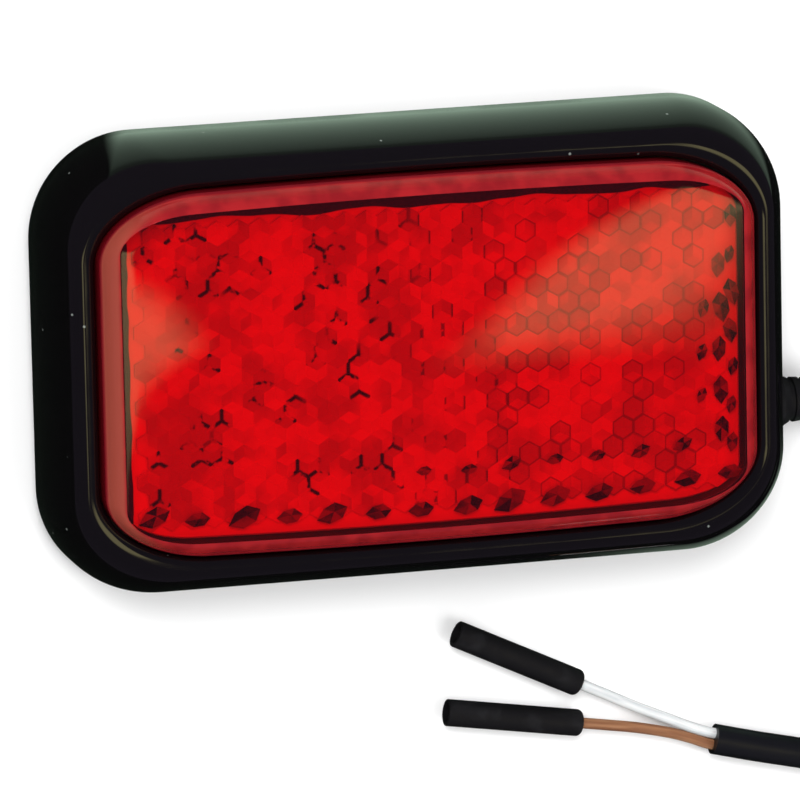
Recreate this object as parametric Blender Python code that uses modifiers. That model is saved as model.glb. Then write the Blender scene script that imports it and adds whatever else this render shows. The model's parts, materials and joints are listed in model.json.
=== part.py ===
"""LED trailer tail light: a clip-in lamp module in a screw-on bezel, with a short two-core lead.

It lies on its back. +X is its long side, +Y its short side, and +Z points out of the lens.
The origin is at the bottom centre of the gasket's back face. Lengths are in metres.
"""
import math

import bmesh
import bpy
from mathutils import Matrix, Vector

MM = 0.001

# Face and clearances
FACE_WIDTH = 58.0 * MM
FACE_HEIGHT = 35.0 * MM
CORNER_RADIUS = 8.0 * MM
FIT_GAP = 0.30 * MM
SEAT_GAP = 0.05 * MM
CORNER_STEPS = 7
LEAST_CORNER = 1.50 * MM
ROUND_END_SHARE = 0.96

# Gasket and mounting bezel
GASKET_THICKNESS = 1.20 * MM
GASKET_INSET = 0.40 * MM
BEZEL_FLOOR = 1.60 * MM
BEZEL_EDGE = 0.25 * MM
BEZEL_STRAIGHT = 2.75 * MM
BEZEL_RISE = 5.80 * MM
BEZEL_ROUND = 2.30 * MM
BEZEL_LIP = 0.80 * MM

# Fixing holes
HOLE_SPACING = 35.0 * MM
HOLE_RADIUS = 1.70 * MM
SINK_RADIUS = 3.00 * MM

# Lamp module
HOUSING_FLOOR = 1.20 * MM
HOUSING_WALL = 1.10 * MM
HOUSING_HEIGHT = 4.20 * MM
LEDGE_WIDTH = 0.90 * MM
LEDGE_HEIGHT = 1.20 * MM
LENS_WALL = 1.10 * MM
LENS_SIDE = 2.90 * MM
LENS_SHOULDER = 1.40 * MM
LENS_CROWN = 0.80 * MM
CROWN_REACH = 10.0 * MM
CROWN_STEPS = 5
SNAP_RIB = (10.0 * MM, 0.20 * MM, 0.80 * MM)
SNAP_RIB_DROP = 1.60 * MM
BOARD_THICKNESS = 1.00 * MM
OPTIC_HEIGHT = 3.35 * MM
OPTIC_PLATE = 1.10 * MM
OPTIC_WALL = 0.80 * MM
OPTIC_EDGE = 0.40 * MM

# Light emitting diodes and the parts beside them
LED_SIZE = (3.50 * MM, 2.80 * MM, 0.90 * MM)
LED_CUP_INSET = 0.35 * MM
LED_CUP_DEPTH = 0.45 * MM
LED_COLUMNS = 3
LED_ROWS = 2
LED_PITCH = (14.0 * MM, 9.0 * MM)
CHIP_EDGE = 0.12 * MM
RESISTOR_SIZE = (3.20 * MM, 1.60 * MM, 0.55 * MM)
RECTIFIER_SIZE = (4.70 * MM, 3.80 * MM, 1.35 * MM)
SUPPRESSOR_SIZE = (4.30 * MM, 2.60 * MM, 1.30 * MM)
CAPACITOR_SIZE = (3.50 * MM, 2.80 * MM, 1.70 * MM)
REGULATOR_SIZE = (4.90 * MM, 3.90 * MM, 1.45 * MM)
RESISTOR_PLACES = [(-7.0 * MM, -4.5 * MM), (-7.0 * MM, 4.5 * MM)]
RECTIFIER_PLACE = (6.5 * MM, -4.0 * MM)
SUPPRESSOR_PLACE = (7.0 * MM, 4.5 * MM)
CAPACITOR_PLACE = (-14.0 * MM, 0.0)
REGULATOR_PLACE = (14.0 * MM, 0.0)

# Lead: sheath, cores and the way out of the lamp
SHEATH_RADIUS = 1.20 * MM
CORE_RADIUS = 0.425 * MM
CORE_SPREAD = 0.48 * MM
EXIT_Y = -7.00 * MM
CHANNEL_END_X = 10.40 * MM
ENTRY_X = 12.00 * MM
ENTRY_RADIUS = 1.60 * MM
INNER_SHEATH_END_X = 15.20 * MM
BOSS_HEIGHT = 0.95 * MM
BOSS_HALF_WIDTH = 2.70 * MM
CORE_BEND_START = 1.90 * MM
CORE_BEND_LOW = (0.60 * MM, 0.50 * MM)
CORE_BEND_RISE = 1.60 * MM
CABLE_GAP = 0.35 * MM
BORE_GAP = 0.10 * MM
TOOL_REACH = 1.00 * MM
POTTING_SINK = 0.10 * MM
SOLDER_RADIUS = 0.42 * MM

# Strain relief
RELIEF_WALL = 0.60 * MM
RELIEF_TIP_WALL = 0.32 * MM
RELIEF_FLANGE_LIP = 0.40 * MM
RELIEF_FLANGE = 0.80 * MM
RELIEF_TAIL = 4.00 * MM

# Coil of the lead, and its tie
COIL_CLEAR_OF_LAMP = 5.05 * MM
COIL_ENTRY_DROP = 3.43 * MM
COIL_ENTRY_ANGLE = math.radians(75)
COIL_EXIT_ANGLE = math.radians(-104)
COIL_SHEATHS_ACROSS = 11
COIL_TURN_GAP = 0.10 * MM
COIL_BOTTOM = 0.50 * MM
COIL_EDGE = 0.90 * MM
TIE_WIDTH = 2.50 * MM
TIE_THICKNESS = 0.35 * MM
TIE_GAP = 0.12 * MM

# Insulating sleeves and their brass receptacles
SLEEVE_RADIUS = 1.05 * MM
SLEEVE_WALL = 0.30 * MM
SLEEVE_LENGTH = 11.0 * MM
SLEEVE_SHOULDER = 0.45 * MM
SLEEVE_NECK = 1.60 * MM
CONTACT_RADIUS = 0.64 * MM
CONTACT_WALL = 0.18 * MM
CONTACT_LENGTH = 5.50 * MM
CONTACT_SETBACK = 0.90 * MM
CORE_START = 6.70 * MM
CORE_STRAIGHT = 2.00 * MM
RING_STEPS = 20
SMALL_RING_STEPS = 12
CONTACT_STEPS = 16
COIL_STEPS = 40
CURVE_STEPS = 24

# Free routes in millimetres. The run from the lamp counts from the bezel's side, the free end from
# where the lead leaves the coil. The third value is the height, from 0 lying down to 1 at the exit.
LIE_GAP = 0.02 * MM
LAMP_RUN = [(5.2, -7.0, 1.0), (8.4, -7.0, 0.5), (11.6, -7.2, 0.04), (14.4, -7.5, 0.0)]
FREE_RUN = [(-13.5, 3.42, 0.0), (-16.1, 4.12, 0.0), (-19.5, 4.92, 0.0), (-23.0, 5.82, 0.0)]
WHITE_SLEEVE_END = (-33.70, 11.08, 0.0)
WHITE_SLEEVE_AXIS = Vector((-0.899, 0.438, 0.0)).normalized()
BROWN_SLEEVE_END = (-33.65, 7.96, 0.0)
BROWN_SLEEVE_AXIS = Vector((-0.987, 0.160, 0.0)).normalized()
WHITE_RUN = [(-29.2, 8.87, 0.0), (-26.7, 7.74, 0.02), (-24.8, 6.90, 0.08), (-23.3, 6.36, 0.11)]
BROWN_RUN = [(-29.2, 7.22, 0.0), (-26.7, 6.64, 0.02), (-24.9, 6.07, 0.08), (-23.4, 5.47, 0.11)]

# Heights and insets worked out from the sizes above
BEZEL_Z = GASKET_THICKNESS + SEAT_GAP
FLOOR_TOP = BEZEL_Z + BEZEL_FLOOR
STRAIGHT_TOP = BEZEL_Z + BEZEL_STRAIGHT
CREST_Z = STRAIGHT_TOP + BEZEL_RISE
OPENING_INSET = BEZEL_ROUND + BEZEL_LIP
MODULE_INSET = OPENING_INSET + FIT_GAP
MODULE_Z = FLOOR_TOP + FIT_GAP
HOUSING_FLOOR_TOP = MODULE_Z + HOUSING_FLOOR
LEDGE_Z = HOUSING_FLOOR_TOP + LEDGE_HEIGHT
RIM_Z = MODULE_Z + HOUSING_HEIGHT
BOARD_INSET = MODULE_INSET + HOUSING_WALL + FIT_GAP
BOARD_Z = LEDGE_Z + SEAT_GAP
BOARD_TOP = BOARD_Z + BOARD_THICKNESS
PART_Z = BOARD_TOP + SEAT_GAP
LENS_Z = RIM_Z + SEAT_GAP
SHOULDER_Z = LENS_Z + LENS_SIDE
SHOULDER_INSET = MODULE_INSET + LENS_SHOULDER
OPTIC_Z = BOARD_TOP + SEAT_GAP
OPTIC_TOP = OPTIC_Z + OPTIC_HEIGHT
EXIT_Z = GASKET_THICKNESS + BORE_GAP + SHEATH_RADIUS
RECESS_TOP = EXIT_Z + SHEATH_RADIUS + CABLE_GAP
SIDE_X = FACE_WIDTH / 2
WALL_INNER_X = SIDE_X - OPENING_INSET
RELIEF_RADIUS = SHEATH_RADIUS + RELIEF_WALL
SLOT_RADIUS = RELIEF_RADIUS + BORE_GAP

# The coil: three turns on the floor and two in the grooves above them
COIL_PITCH = 2 * SHEATH_RADIUS + COIL_TURN_GAP
COIL_MEAN_RADIUS = COIL_SHEATHS_ACROSS * SHEATH_RADIUS
COIL_HALF_WIDTH = 1.5 * COIL_PITCH
COIL_OUTER = COIL_MEAN_RADIUS + COIL_HALF_WIDTH
COIL_TOP = COIL_BOTTOM + 2 * SHEATH_RADIUS + COIL_PITCH * math.sin(math.radians(60)) + COIL_TURN_GAP
ENTRY_TURN = COIL_MEAN_RADIUS + COIL_PITCH
EXIT_TURN = COIL_MEAN_RADIUS + COIL_PITCH / 2
COIL_CENTRE = Vector((
    SIDE_X + COIL_CLEAR_OF_LAMP + COIL_OUTER,
    EXIT_Y - COIL_ENTRY_DROP - ENTRY_TURN * math.sin(COIL_ENTRY_ANGLE),
    0.0,
))
LIE_Z = SHEATH_RADIUS + LIE_GAP
SLEEVE_Z = SLEEVE_RADIUS + LIE_GAP

# Distance between points along the sheath and the cores
SHEATH_STEP = 4 * SHEATH_RADIUS
LAMP_RUN_STEP = 2.6 * SHEATH_RADIUS
CORE_STEP = 4.8 * CORE_RADIUS
INNER_CORE_STEP = 1.6 * CORE_RADIUS


def clear_scene():
    """Remove whatever the file holds, and make the collections for parts and cutters."""
    for item in list(bpy.data.objects):
        bpy.data.objects.remove(item, do_unlink=True)
    parts = bpy.data.collections.new("trailer_tail_light")
    cutters = bpy.data.collections.new("cutters")
    for collection in (parts, cutters):
        bpy.context.scene.collection.children.link(collection)
    cutters.hide_render = True
    return parts, cutters


PARTS, CUTTERS = clear_scene()


def material(name, colour, roughness, metallic=0.0, transmission=0.0):
    """A Principled material in one linear colour."""
    made = bpy.data.materials.new(name)
    made.use_nodes = True
    made.diffuse_color = (*colour, 1.0)
    shader = made.node_tree.nodes["Principled BSDF"]
    shader.inputs["Base Color"].default_value = (*colour, 1.0)
    shader.inputs["Roughness"].default_value = roughness
    shader.inputs["Metallic"].default_value = metallic
    shader.inputs["Transmission Weight"].default_value = transmission
    return made


BLACK_ABS = material("gloss_black_abs", (0.012, 0.013, 0.013), 0.18)
BLACK_HOUSING = material("black_housing", (0.02, 0.02, 0.02), 0.5)
RED_LENS = material("red_acrylic", (0.72, 0.005, 0.008), 0.08, transmission=0.8)
RED_OPTIC = material("red_prism_acrylic", (0.62, 0.004, 0.006), 0.15, transmission=0.5)
GASKET_RUBBER = material("foam_rubber", (0.025, 0.025, 0.027), 0.9)
BOARD_GREEN = material("white_solder_mask", (0.75, 0.76, 0.74), 0.45)
LED_WHITE = material("led_package", (0.85, 0.83, 0.78), 0.4)
CHIP_BLACK = material("chip_epoxy", (0.02, 0.02, 0.022), 0.55)
CAPACITOR_YELLOW = material("tantalum_resin", (0.62, 0.40, 0.05), 0.5)
POTTING_EPOXY = material("potting_epoxy", (0.03, 0.03, 0.035), 0.3)
SOLDER = material("solder", (0.72, 0.72, 0.70), 0.3, metallic=1.0)
SHEATH_BLACK = material("black_pvc_sheath", (0.014, 0.015, 0.017), 0.5)
CORE_WHITE = material("white_pvc_core", (0.78, 0.79, 0.80), 0.4)
CORE_BROWN = material("brown_pvc_core", (0.26, 0.13, 0.07), 0.4)
SLEEVE_BLACK = material("black_sleeve", (0.018, 0.018, 0.018), 0.65)
BRASS = material("tinned_brass", (0.70, 0.55, 0.30), 0.35, metallic=1.0)
TIE_NYLON = material("black_nylon", (0.02, 0.02, 0.02), 0.45)


def add_object(name, mesh, finish=None, collection=None):
    """Link a mesh as a named object, smooth on its round faces."""
    made = bpy.data.objects.new(name, mesh)
    (collection or PARTS).objects.link(made)
    if finish is not None:
        mesh.materials.clear()
        mesh.materials.append(finish)
        mesh.shade_smooth()
        mesh.set_sharp_from_angle(angle=math.radians(35))
    return made


def as_cutter(item):
    """Put an object aside as a cutting tool."""
    item.hide_render = True
    item.display_type = "WIRE"
    return item


def boolean(item, tool, operation="DIFFERENCE"):
    """Add a live Boolean with one tool."""
    modifier = item.modifiers.new(operation.title(), "BOOLEAN")
    modifier.operation = operation
    modifier.solver = "EXACT"
    modifier.object = tool


def rounded_outline(half_x, half_y, radius, steps=CORNER_STEPS):
    """Anticlockwise points of a rectangle with round corners."""
    points = []
    for index, (sign_x, sign_y) in enumerate([(1, 1), (-1, 1), (-1, -1), (1, -1)]):
        centre_x = sign_x * (half_x - radius)
        centre_y = sign_y * (half_y - radius)
        for step in range(steps + 1):
            angle = math.pi / 2 * (index + step / steps)
            points.append((centre_x + radius * math.cos(angle), centre_y + radius * math.sin(angle)))
    return points


def stack_mesh(name, rings):
    """A closed skin through rings of equal point count, from the downward end cap to the upward one."""
    work = bmesh.new()
    levels = [[work.verts.new((x, y, z)) for x, y in outline] for outline, z in rings]
    count = len(levels[0])
    work.faces.new(list(reversed(levels[0])))
    for low, high in zip(levels, levels[1:]):
        for index in range(count):
            after = (index + 1) % count
            work.faces.new((low[index], low[after], high[after], high[index]))
    work.faces.new(levels[-1])
    mesh = bpy.data.meshes.new(name)
    work.to_mesh(mesh)
    work.free()
    return mesh


def face_stack(name, profile, finish):
    """A piece whose rings are offsets of the lamp's face outline; the profile gives inset and height."""
    rings = []
    for inset, height in profile:
        half_x = SIDE_X - inset
        half_y = FACE_HEIGHT / 2 - inset
        radius = min(max(CORNER_RADIUS - inset, LEAST_CORNER), half_y * ROUND_END_SHARE)
        rings.append((rounded_outline(half_x, half_y, radius), height))
    return add_object(name, stack_mesh(name, rings), finish)


def arc(centre, radii, start, end, steps):
    """Points of an elliptical arc in the inset and height plane, angles in degrees."""
    points = []
    for step in range(steps + 1):
        angle = math.radians(start + (end - start) * step / steps)
        points.append((centre[0] + radii[0] * math.cos(angle), centre[1] + radii[1] * math.sin(angle)))
    return points


def crown(base_z, inset_from):
    """The shallow dome of the lens face, from its shoulder inwards."""
    points = []
    for step in range(1, CROWN_STEPS + 1):
        share = step / CROWN_STEPS
        points.append((inset_from + CROWN_REACH * share, base_z + LENS_CROWN * (1 - (1 - share) ** 2)))
    return points


def box(name, low, high, finish=None, edge=0.0):
    """A box between two corners; without a finish it is a cutter."""
    work = bmesh.new()
    bmesh.ops.create_cube(work, size=1.0)
    size = [b - a for a, b in zip(low, high)]
    middle = [(a + b) / 2 for a, b in zip(low, high)]
    bmesh.ops.scale(work, vec=size, verts=work.verts)
    bmesh.ops.translate(work, vec=middle, verts=work.verts)
    if edge:
        bmesh.ops.bevel(work, geom=work.edges[:], offset=edge, segments=1, affect="EDGES")
    mesh = bpy.data.meshes.new(name)
    work.to_mesh(mesh)
    work.free()
    if finish is None:
        return as_cutter(add_object(name, mesh, collection=CUTTERS))
    return add_object(name, mesh, finish)


def cone(name, centre, axis, radius_start, radius_end, length, finish=None, steps=RING_STEPS):
    """A cylinder or cone from a point along an axis; without a finish it is a cutter."""
    work = bmesh.new()
    bmesh.ops.create_cone(
        work, cap_ends=True, segments=steps, radius1=radius_start, radius2=radius_end, depth=length
    )
    bmesh.ops.translate(work, vec=(0, 0, length / 2), verts=work.verts)
    turn = Vector((0, 0, 1)).rotation_difference(Vector(axis)).to_matrix().to_4x4()
    bmesh.ops.transform(work, matrix=Matrix.Translation(centre) @ turn, verts=work.verts)
    mesh = bpy.data.meshes.new(name)
    work.to_mesh(mesh)
    work.free()
    if finish is None:
        return as_cutter(add_object(name, mesh, collection=CUTTERS))
    return add_object(name, mesh, finish)


def turned(name, profile, start, axis, finish, steps=RING_STEPS):
    """A closed radius and height profile turned about its axis, which starts at a point."""
    mesh = bpy.data.meshes.new(name)
    vertices = [(radius, 0.0, height) for radius, height in profile]
    edges = [(index, (index + 1) % len(vertices)) for index in range(len(vertices))]
    mesh.from_pydata(vertices, edges, [])
    made = add_object(name, mesh)
    screw = made.modifiers.new("Screw", "SCREW")
    screw.steps = steps
    screw.render_steps = steps
    screw.use_merge_vertices = True
    screw.merge_threshold = 0.00001
    screw.use_smooth_shade = True
    made.rotation_mode = "QUATERNION"
    made.rotation_quaternion = Vector((0, 0, 1)).rotation_difference(Vector(axis))
    made.location = start
    mesh.materials.append(finish)
    return made


def smooth_route(points, spacing):
    """Evenly spaced points on a Catmull-Rom curve through a route."""
    knots = [Vector(point) for point in points]
    knots = [knots[0] * 2 - knots[1]] + knots + [knots[-1] * 2 - knots[-2]]
    dense = []
    for index in range(1, len(knots) - 2):
        before, low, high, after = knots[index - 1:index + 3]
        for step in range(CURVE_STEPS):
            t = step / CURVE_STEPS
            dense.append(0.5 * (
                2 * low + (high - before) * t + (2 * before - 5 * low + 4 * high - after) * t * t
                + (3 * low - before - 3 * high + after) * t ** 3
            ))
    dense.append(knots[-2])
    lengths = [0.0]
    for low, high in zip(dense, dense[1:]):
        lengths.append(lengths[-1] + (high - low).length)
    count = max(2, round(lengths[-1] / spacing))
    even = []
    position = 0
    for step in range(count + 1):
        target = lengths[-1] * step / count
        while position < len(dense) - 2 and lengths[position + 1] < target:
            position += 1
        share = (target - lengths[position]) / (lengths[position + 1] - lengths[position])
        even.append(dense[position].lerp(dense[position + 1], min(max(share, 0.0), 1.0)))
    return even


def tube(name, points, radius, finish, spacing):
    """A lead or core: a poly curve with a round bevel and filled caps."""
    curve = bpy.data.curves.new(name, "CURVE")
    curve.dimensions = "3D"
    curve.bevel_depth = radius
    curve.bevel_resolution = 2
    curve.use_fill_caps = True
    path = smooth_route(points, spacing)
    spline = curve.splines.new("POLY")
    spline.points.add(len(path) - 1)
    for point, place in zip(spline.points, path):
        point.co = (*place, 1.0)
    curve.materials.append(finish)
    made = bpy.data.objects.new(name, curve)
    PARTS.objects.link(made)
    return made


def coil_point(radius, angle):
    """A place on a turn of the coil."""
    return COIL_CENTRE + Vector((radius * math.cos(angle), radius * math.sin(angle), 0.0))


def coil_meeting(radius, angle, sense):
    """Where a run that is tangent to a turn stops, clear of the coil's outside."""
    reach = COIL_OUTER + FIT_GAP
    away = math.sqrt(reach ** 2 - (radius - SHEATH_RADIUS) ** 2)
    tangent = Vector((math.sin(angle), -math.cos(angle), 0.0)) * sense
    return coil_point(radius, angle) + tangent * away + Vector((0.0, 0.0, LIE_Z))


def placed(points, start, rest_z):
    """Route points in metres, counted from a start and lifted from their resting height."""
    return [
        Vector((start.x + x * MM, start.y + y * MM, rest_z + lift * (EXIT_Z - rest_z)))
        for x, y, lift in points
    ]


def build_gasket(hole_tools):
    """Foam rubber pad between the bezel and the panel, notched for the lead."""
    profile = [(GASKET_INSET, 0.0), (GASKET_INSET, GASKET_THICKNESS)]
    gasket = face_stack("base_gasket", profile, GASKET_RUBBER)
    notch = box(
        "gasket_notch_cutter",
        (WALL_INNER_X - FIT_GAP, EXIT_Y - SLOT_RADIUS, -TOOL_REACH),
        (SIDE_X + TOOL_REACH, EXIT_Y + SLOT_RADIUS, GASKET_THICKNESS + TOOL_REACH),
    )
    boolean(gasket, notch)
    for tool in hole_tools:
        boolean(gasket, tool)


def build_bezel(hole_tools):
    """Gloss black frame with a floor: rounded outside, a lip round the lens, and a slot for the lead."""
    profile = [(BEZEL_EDGE, BEZEL_Z), (0.0, BEZEL_Z + BEZEL_EDGE)]
    profile += arc((BEZEL_ROUND, STRAIGHT_TOP), (BEZEL_ROUND, BEZEL_RISE), 180, 90, 8)
    profile += arc((BEZEL_ROUND, CREST_Z - BEZEL_LIP), (BEZEL_LIP, BEZEL_LIP), 90, 0, 4)[1:]
    profile += [(OPENING_INSET, FLOOR_TOP)]
    bezel = face_stack("mounting_bezel", profile, BLACK_ABS)
    for side, tool in zip((-1, 1), hole_tools):
        boolean(bezel, tool)
        sink_depth = SINK_RADIUS - HOLE_RADIUS
        place = (side * HOLE_SPACING / 2, 0.0, FLOOR_TOP - sink_depth)
        sink = cone(
            f"sink_cutter_{side}", place, (0, 0, 1),
            HOLE_RADIUS, SINK_RADIUS + BORE_GAP, sink_depth + BORE_GAP,
        )
        boolean(bezel, sink)
    channel = box(
        "bezel_channel_cutter",
        (CHANNEL_END_X, EXIT_Y - SHEATH_RADIUS - CABLE_GAP, 0.0),
        (WALL_INNER_X + FIT_GAP, EXIT_Y + SHEATH_RADIUS + CABLE_GAP, FLOOR_TOP + TOOL_REACH),
    )
    slot = box(
        "bezel_slot_cutter",
        (WALL_INNER_X - FIT_GAP, EXIT_Y - SLOT_RADIUS, 0.0),
        (SIDE_X + TOOL_REACH, EXIT_Y + SLOT_RADIUS, EXIT_Z),
    )
    arch = cone(
        "bezel_arch_cutter", (WALL_INNER_X - FIT_GAP, EXIT_Y, EXIT_Z), (1, 0, 0),
        SLOT_RADIUS, SLOT_RADIUS, OPENING_INSET + FIT_GAP + TOOL_REACH,
    )
    for tool in (channel, slot, arch):
        boolean(bezel, tool)


def build_housing():
    """Black tray of the module, with a board ledge and a raised tunnel over the lead."""
    inner = MODULE_INSET + HOUSING_WALL
    profile = [
        (MODULE_INSET + FIT_GAP, MODULE_Z), (MODULE_INSET, MODULE_Z + FIT_GAP), (MODULE_INSET, RIM_Z),
        (inner, RIM_Z), (inner, LEDGE_Z),
        (inner + LEDGE_WIDTH, LEDGE_Z), (inner + LEDGE_WIDTH, HOUSING_FLOOR_TOP),
    ]
    housing = face_stack("lamp_housing", profile, BLACK_HOUSING)
    module_edge = SIDE_X - MODULE_INSET
    boss = box(
        "cable_boss_tool",
        (ENTRY_X - BOSS_HALF_WIDTH, EXIT_Y - BOSS_HALF_WIDTH, MODULE_Z + HOUSING_FLOOR / 2),
        (module_edge - HOUSING_WALL, EXIT_Y + BOSS_HALF_WIDTH, HOUSING_FLOOR_TOP + BOSS_HEIGHT),
    )
    recess = box(
        "cable_recess_cutter",
        (ENTRY_X, EXIT_Y - SHEATH_RADIUS - CABLE_GAP, MODULE_Z - TOOL_REACH),
        (module_edge + TOOL_REACH, EXIT_Y + SHEATH_RADIUS + CABLE_GAP, RECESS_TOP),
    )
    entry = cone(
        "cable_entry_cutter", (ENTRY_X, EXIT_Y, MODULE_Z - TOOL_REACH), (0, 0, 1),
        ENTRY_RADIUS, ENTRY_RADIUS, HOUSING_FLOOR + BOSS_HEIGHT + 2 * TOOL_REACH,
    )
    boolean(housing, boss, "UNION")
    for side in (-1, 1):
        wall_y = side * (FACE_HEIGHT / 2 - MODULE_INSET)
        edges = sorted([wall_y - side * HOUSING_WALL / 2, wall_y + side * SNAP_RIB[1]])
        rib_z = RIM_Z - SNAP_RIB_DROP
        low = (-SNAP_RIB[0] / 2, edges[0], rib_z - SNAP_RIB[2])
        rib = box(f"snap_rib_tool_{side}", low, (SNAP_RIB[0] / 2, edges[1], rib_z))
        boolean(housing, rib, "UNION")
    boolean(housing, recess)
    boolean(housing, entry)


def build_lens():
    """Clear red cover: straight side, round shoulder and shallow crown, of even wall."""
    inner_side = MODULE_INSET + LENS_WALL
    inner_round = LENS_SHOULDER - LENS_WALL
    inner_top = SHOULDER_Z + inner_round
    inside = list(reversed(crown(inner_top, SHOULDER_INSET)))
    inside += arc((SHOULDER_INSET, SHOULDER_Z), (inner_round, inner_round), 90, 180, 2)
    outside = [(inner_side, LENS_Z), (MODULE_INSET, LENS_Z)]
    outside += arc((SHOULDER_INSET, SHOULDER_Z), (LENS_SHOULDER, LENS_SHOULDER), 180, 90, 5)
    outside += crown(SHOULDER_Z + LENS_SHOULDER, SHOULDER_INSET)
    face_stack("outer_lens", inside + outside, RED_LENS)


def build_optic():
    """Red prism plate on a skirt that stands on the board."""
    outer = BOARD_INSET
    inner = outer + OPTIC_WALL
    profile = [
        (inner, OPTIC_TOP - OPTIC_PLATE), (inner, OPTIC_Z), (outer, OPTIC_Z),
        (outer, OPTIC_TOP - OPTIC_EDGE), (outer + OPTIC_EDGE, OPTIC_TOP),
    ]
    face_stack("reflex_optic", profile, RED_OPTIC)


def build_board():
    """Printed circuit board on the housing's ledge."""
    face_stack("circuit_board", [(BOARD_INSET, BOARD_Z), (BOARD_INSET, BOARD_TOP)], BOARD_GREEN)


def build_leds():
    """Surface mount LEDs in two rows: a square package with a round-cornered cup."""
    half_x = LED_SIZE[0] / 2
    half_y = LED_SIZE[1] / 2
    height = LED_SIZE[2]
    corner = 3 * CHIP_EDGE
    rim = LED_CUP_INSET
    rings = [
        (rounded_outline(half_x, half_y, CHIP_EDGE, 2), 0.0),
        (rounded_outline(half_x, half_y, CHIP_EDGE, 2), height),
        (rounded_outline(half_x - rim, half_y - rim, corner, 2), height),
        (rounded_outline(half_x - 2 * rim, half_y - 2 * rim, corner, 2), height - LED_CUP_DEPTH),
    ]
    mesh = stack_mesh("led", rings)
    for row in range(LED_ROWS):
        for column in range(LED_COLUMNS):
            led = add_object(f"led_{row * LED_COLUMNS + column + 1}", mesh, LED_WHITE)
            place_x = (column - (LED_COLUMNS - 1) / 2) * LED_PITCH[0]
            place_y = (row - (LED_ROWS - 1) / 2) * LED_PITCH[1]
            led.location = (place_x, place_y, PART_Z)


def build_chips():
    """Resistors, rectifier, suppressor, capacitor and regulator on the board."""
    chips = [
        ("series_resistor_1", RESISTOR_SIZE, RESISTOR_PLACES[0], CHIP_BLACK),
        ("series_resistor_2", RESISTOR_SIZE, RESISTOR_PLACES[1], CHIP_BLACK),
        ("bridge_rectifier", RECTIFIER_SIZE, RECTIFIER_PLACE, CHIP_BLACK),
        ("surge_suppressor", SUPPRESSOR_SIZE, SUPPRESSOR_PLACE, CHIP_BLACK),
        ("smoothing_capacitor", CAPACITOR_SIZE, CAPACITOR_PLACE, CAPACITOR_YELLOW),
        ("current_regulator", REGULATOR_SIZE, REGULATOR_PLACE, CHIP_BLACK),
    ]
    for name, size, (x, y), finish in chips:
        low = (x - size[0] / 2, y - size[1] / 2, PART_Z)
        high = (x + size[0] / 2, y + size[1] / 2, PART_Z + size[2])
        box(name, low, high, finish, edge=CHIP_EDGE)


def build_cable_entry():
    """The lead's end inside the module: sheath stub, two cores, potting plug and solder joints."""
    stub_start = SIDE_X - MODULE_INSET
    stub = [(stub_start, EXIT_Y, EXIT_Z), (INNER_SHEATH_END_X, EXIT_Y, EXIT_Z)]
    tube("inner_sheath", stub, SHEATH_RADIUS, SHEATH_BLACK, SHEATH_STEP)
    top = BOARD_Z - BORE_GAP
    entry_depth = HOUSING_FLOOR + BOSS_HEIGHT + 2 * TOOL_REACH
    bores = []
    for name, side, finish in (("white", 1, CORE_WHITE), ("brown", -1, CORE_BROWN)):
        y = EXIT_Y + side * CORE_SPREAD
        route = [
            (INNER_SHEATH_END_X - FIT_GAP, y, EXIT_Z),
            (ENTRY_X + CORE_BEND_START, y, EXIT_Z),
            (ENTRY_X + CORE_BEND_LOW[0], y, EXIT_Z + CORE_BEND_LOW[1]),
            (ENTRY_X, y, EXIT_Z + CORE_BEND_RISE),
            (ENTRY_X, y, top),
        ]
        tube(f"inner_{name}_core", route, CORE_RADIUS, finish, INNER_CORE_STEP)
        bores.append(cone(
            f"potting_bore_{name}", (ENTRY_X, y, MODULE_Z - TOOL_REACH), (0, 0, 1),
            CORE_RADIUS + BORE_GAP, CORE_RADIUS + BORE_GAP, entry_depth, steps=SMALL_RING_STEPS,
        ))
        pad = (ENTRY_X, EXIT_Y + side * (SOLDER_RADIUS + BORE_GAP), PART_Z)
        cone(
            f"{name}_solder_joint", pad, (0, 0, 1),
            SOLDER_RADIUS, SOLDER_RADIUS / 3, SOLDER_RADIUS, SOLDER, SMALL_RING_STEPS,
        )
    potting_radius = ENTRY_RADIUS - BORE_GAP
    potting_z = RECESS_TOP - FIT_GAP
    potting_length = HOUSING_FLOOR_TOP + BOSS_HEIGHT - POTTING_SINK - potting_z
    potting = cone(
        "cable_potting", (ENTRY_X, EXIT_Y, potting_z), (0, 0, 1),
        potting_radius, potting_radius, potting_length, POTTING_EPOXY,
    )
    for bore in bores:
        boolean(potting, bore)


def build_strain_relief():
    """Rubber bush in the bezel's slot, flanged outside and tapered along the lead."""
    bore = SHEATH_RADIUS + BORE_GAP
    body_length = OPENING_INSET + BORE_GAP
    flange_end = body_length + RELIEF_FLANGE
    tip = flange_end + RELIEF_TAIL
    tip_radius = SHEATH_RADIUS + RELIEF_TIP_WALL
    flange_radius = RELIEF_RADIUS + RELIEF_FLANGE_LIP
    profile = [
        (bore, tip), (tip_radius - BORE_GAP, tip), (tip_radius, tip - BORE_GAP),
        (RELIEF_RADIUS, flange_end), (flange_radius, flange_end),
        (flange_radius, body_length), (RELIEF_RADIUS, body_length),
        (RELIEF_RADIUS, 0.0), (bore, 0.0),
    ]
    turned("strain_relief", profile, (WALL_INNER_X, EXIT_Y, EXIT_Z), (1, 0, 0), SLEEVE_BLACK)


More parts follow.
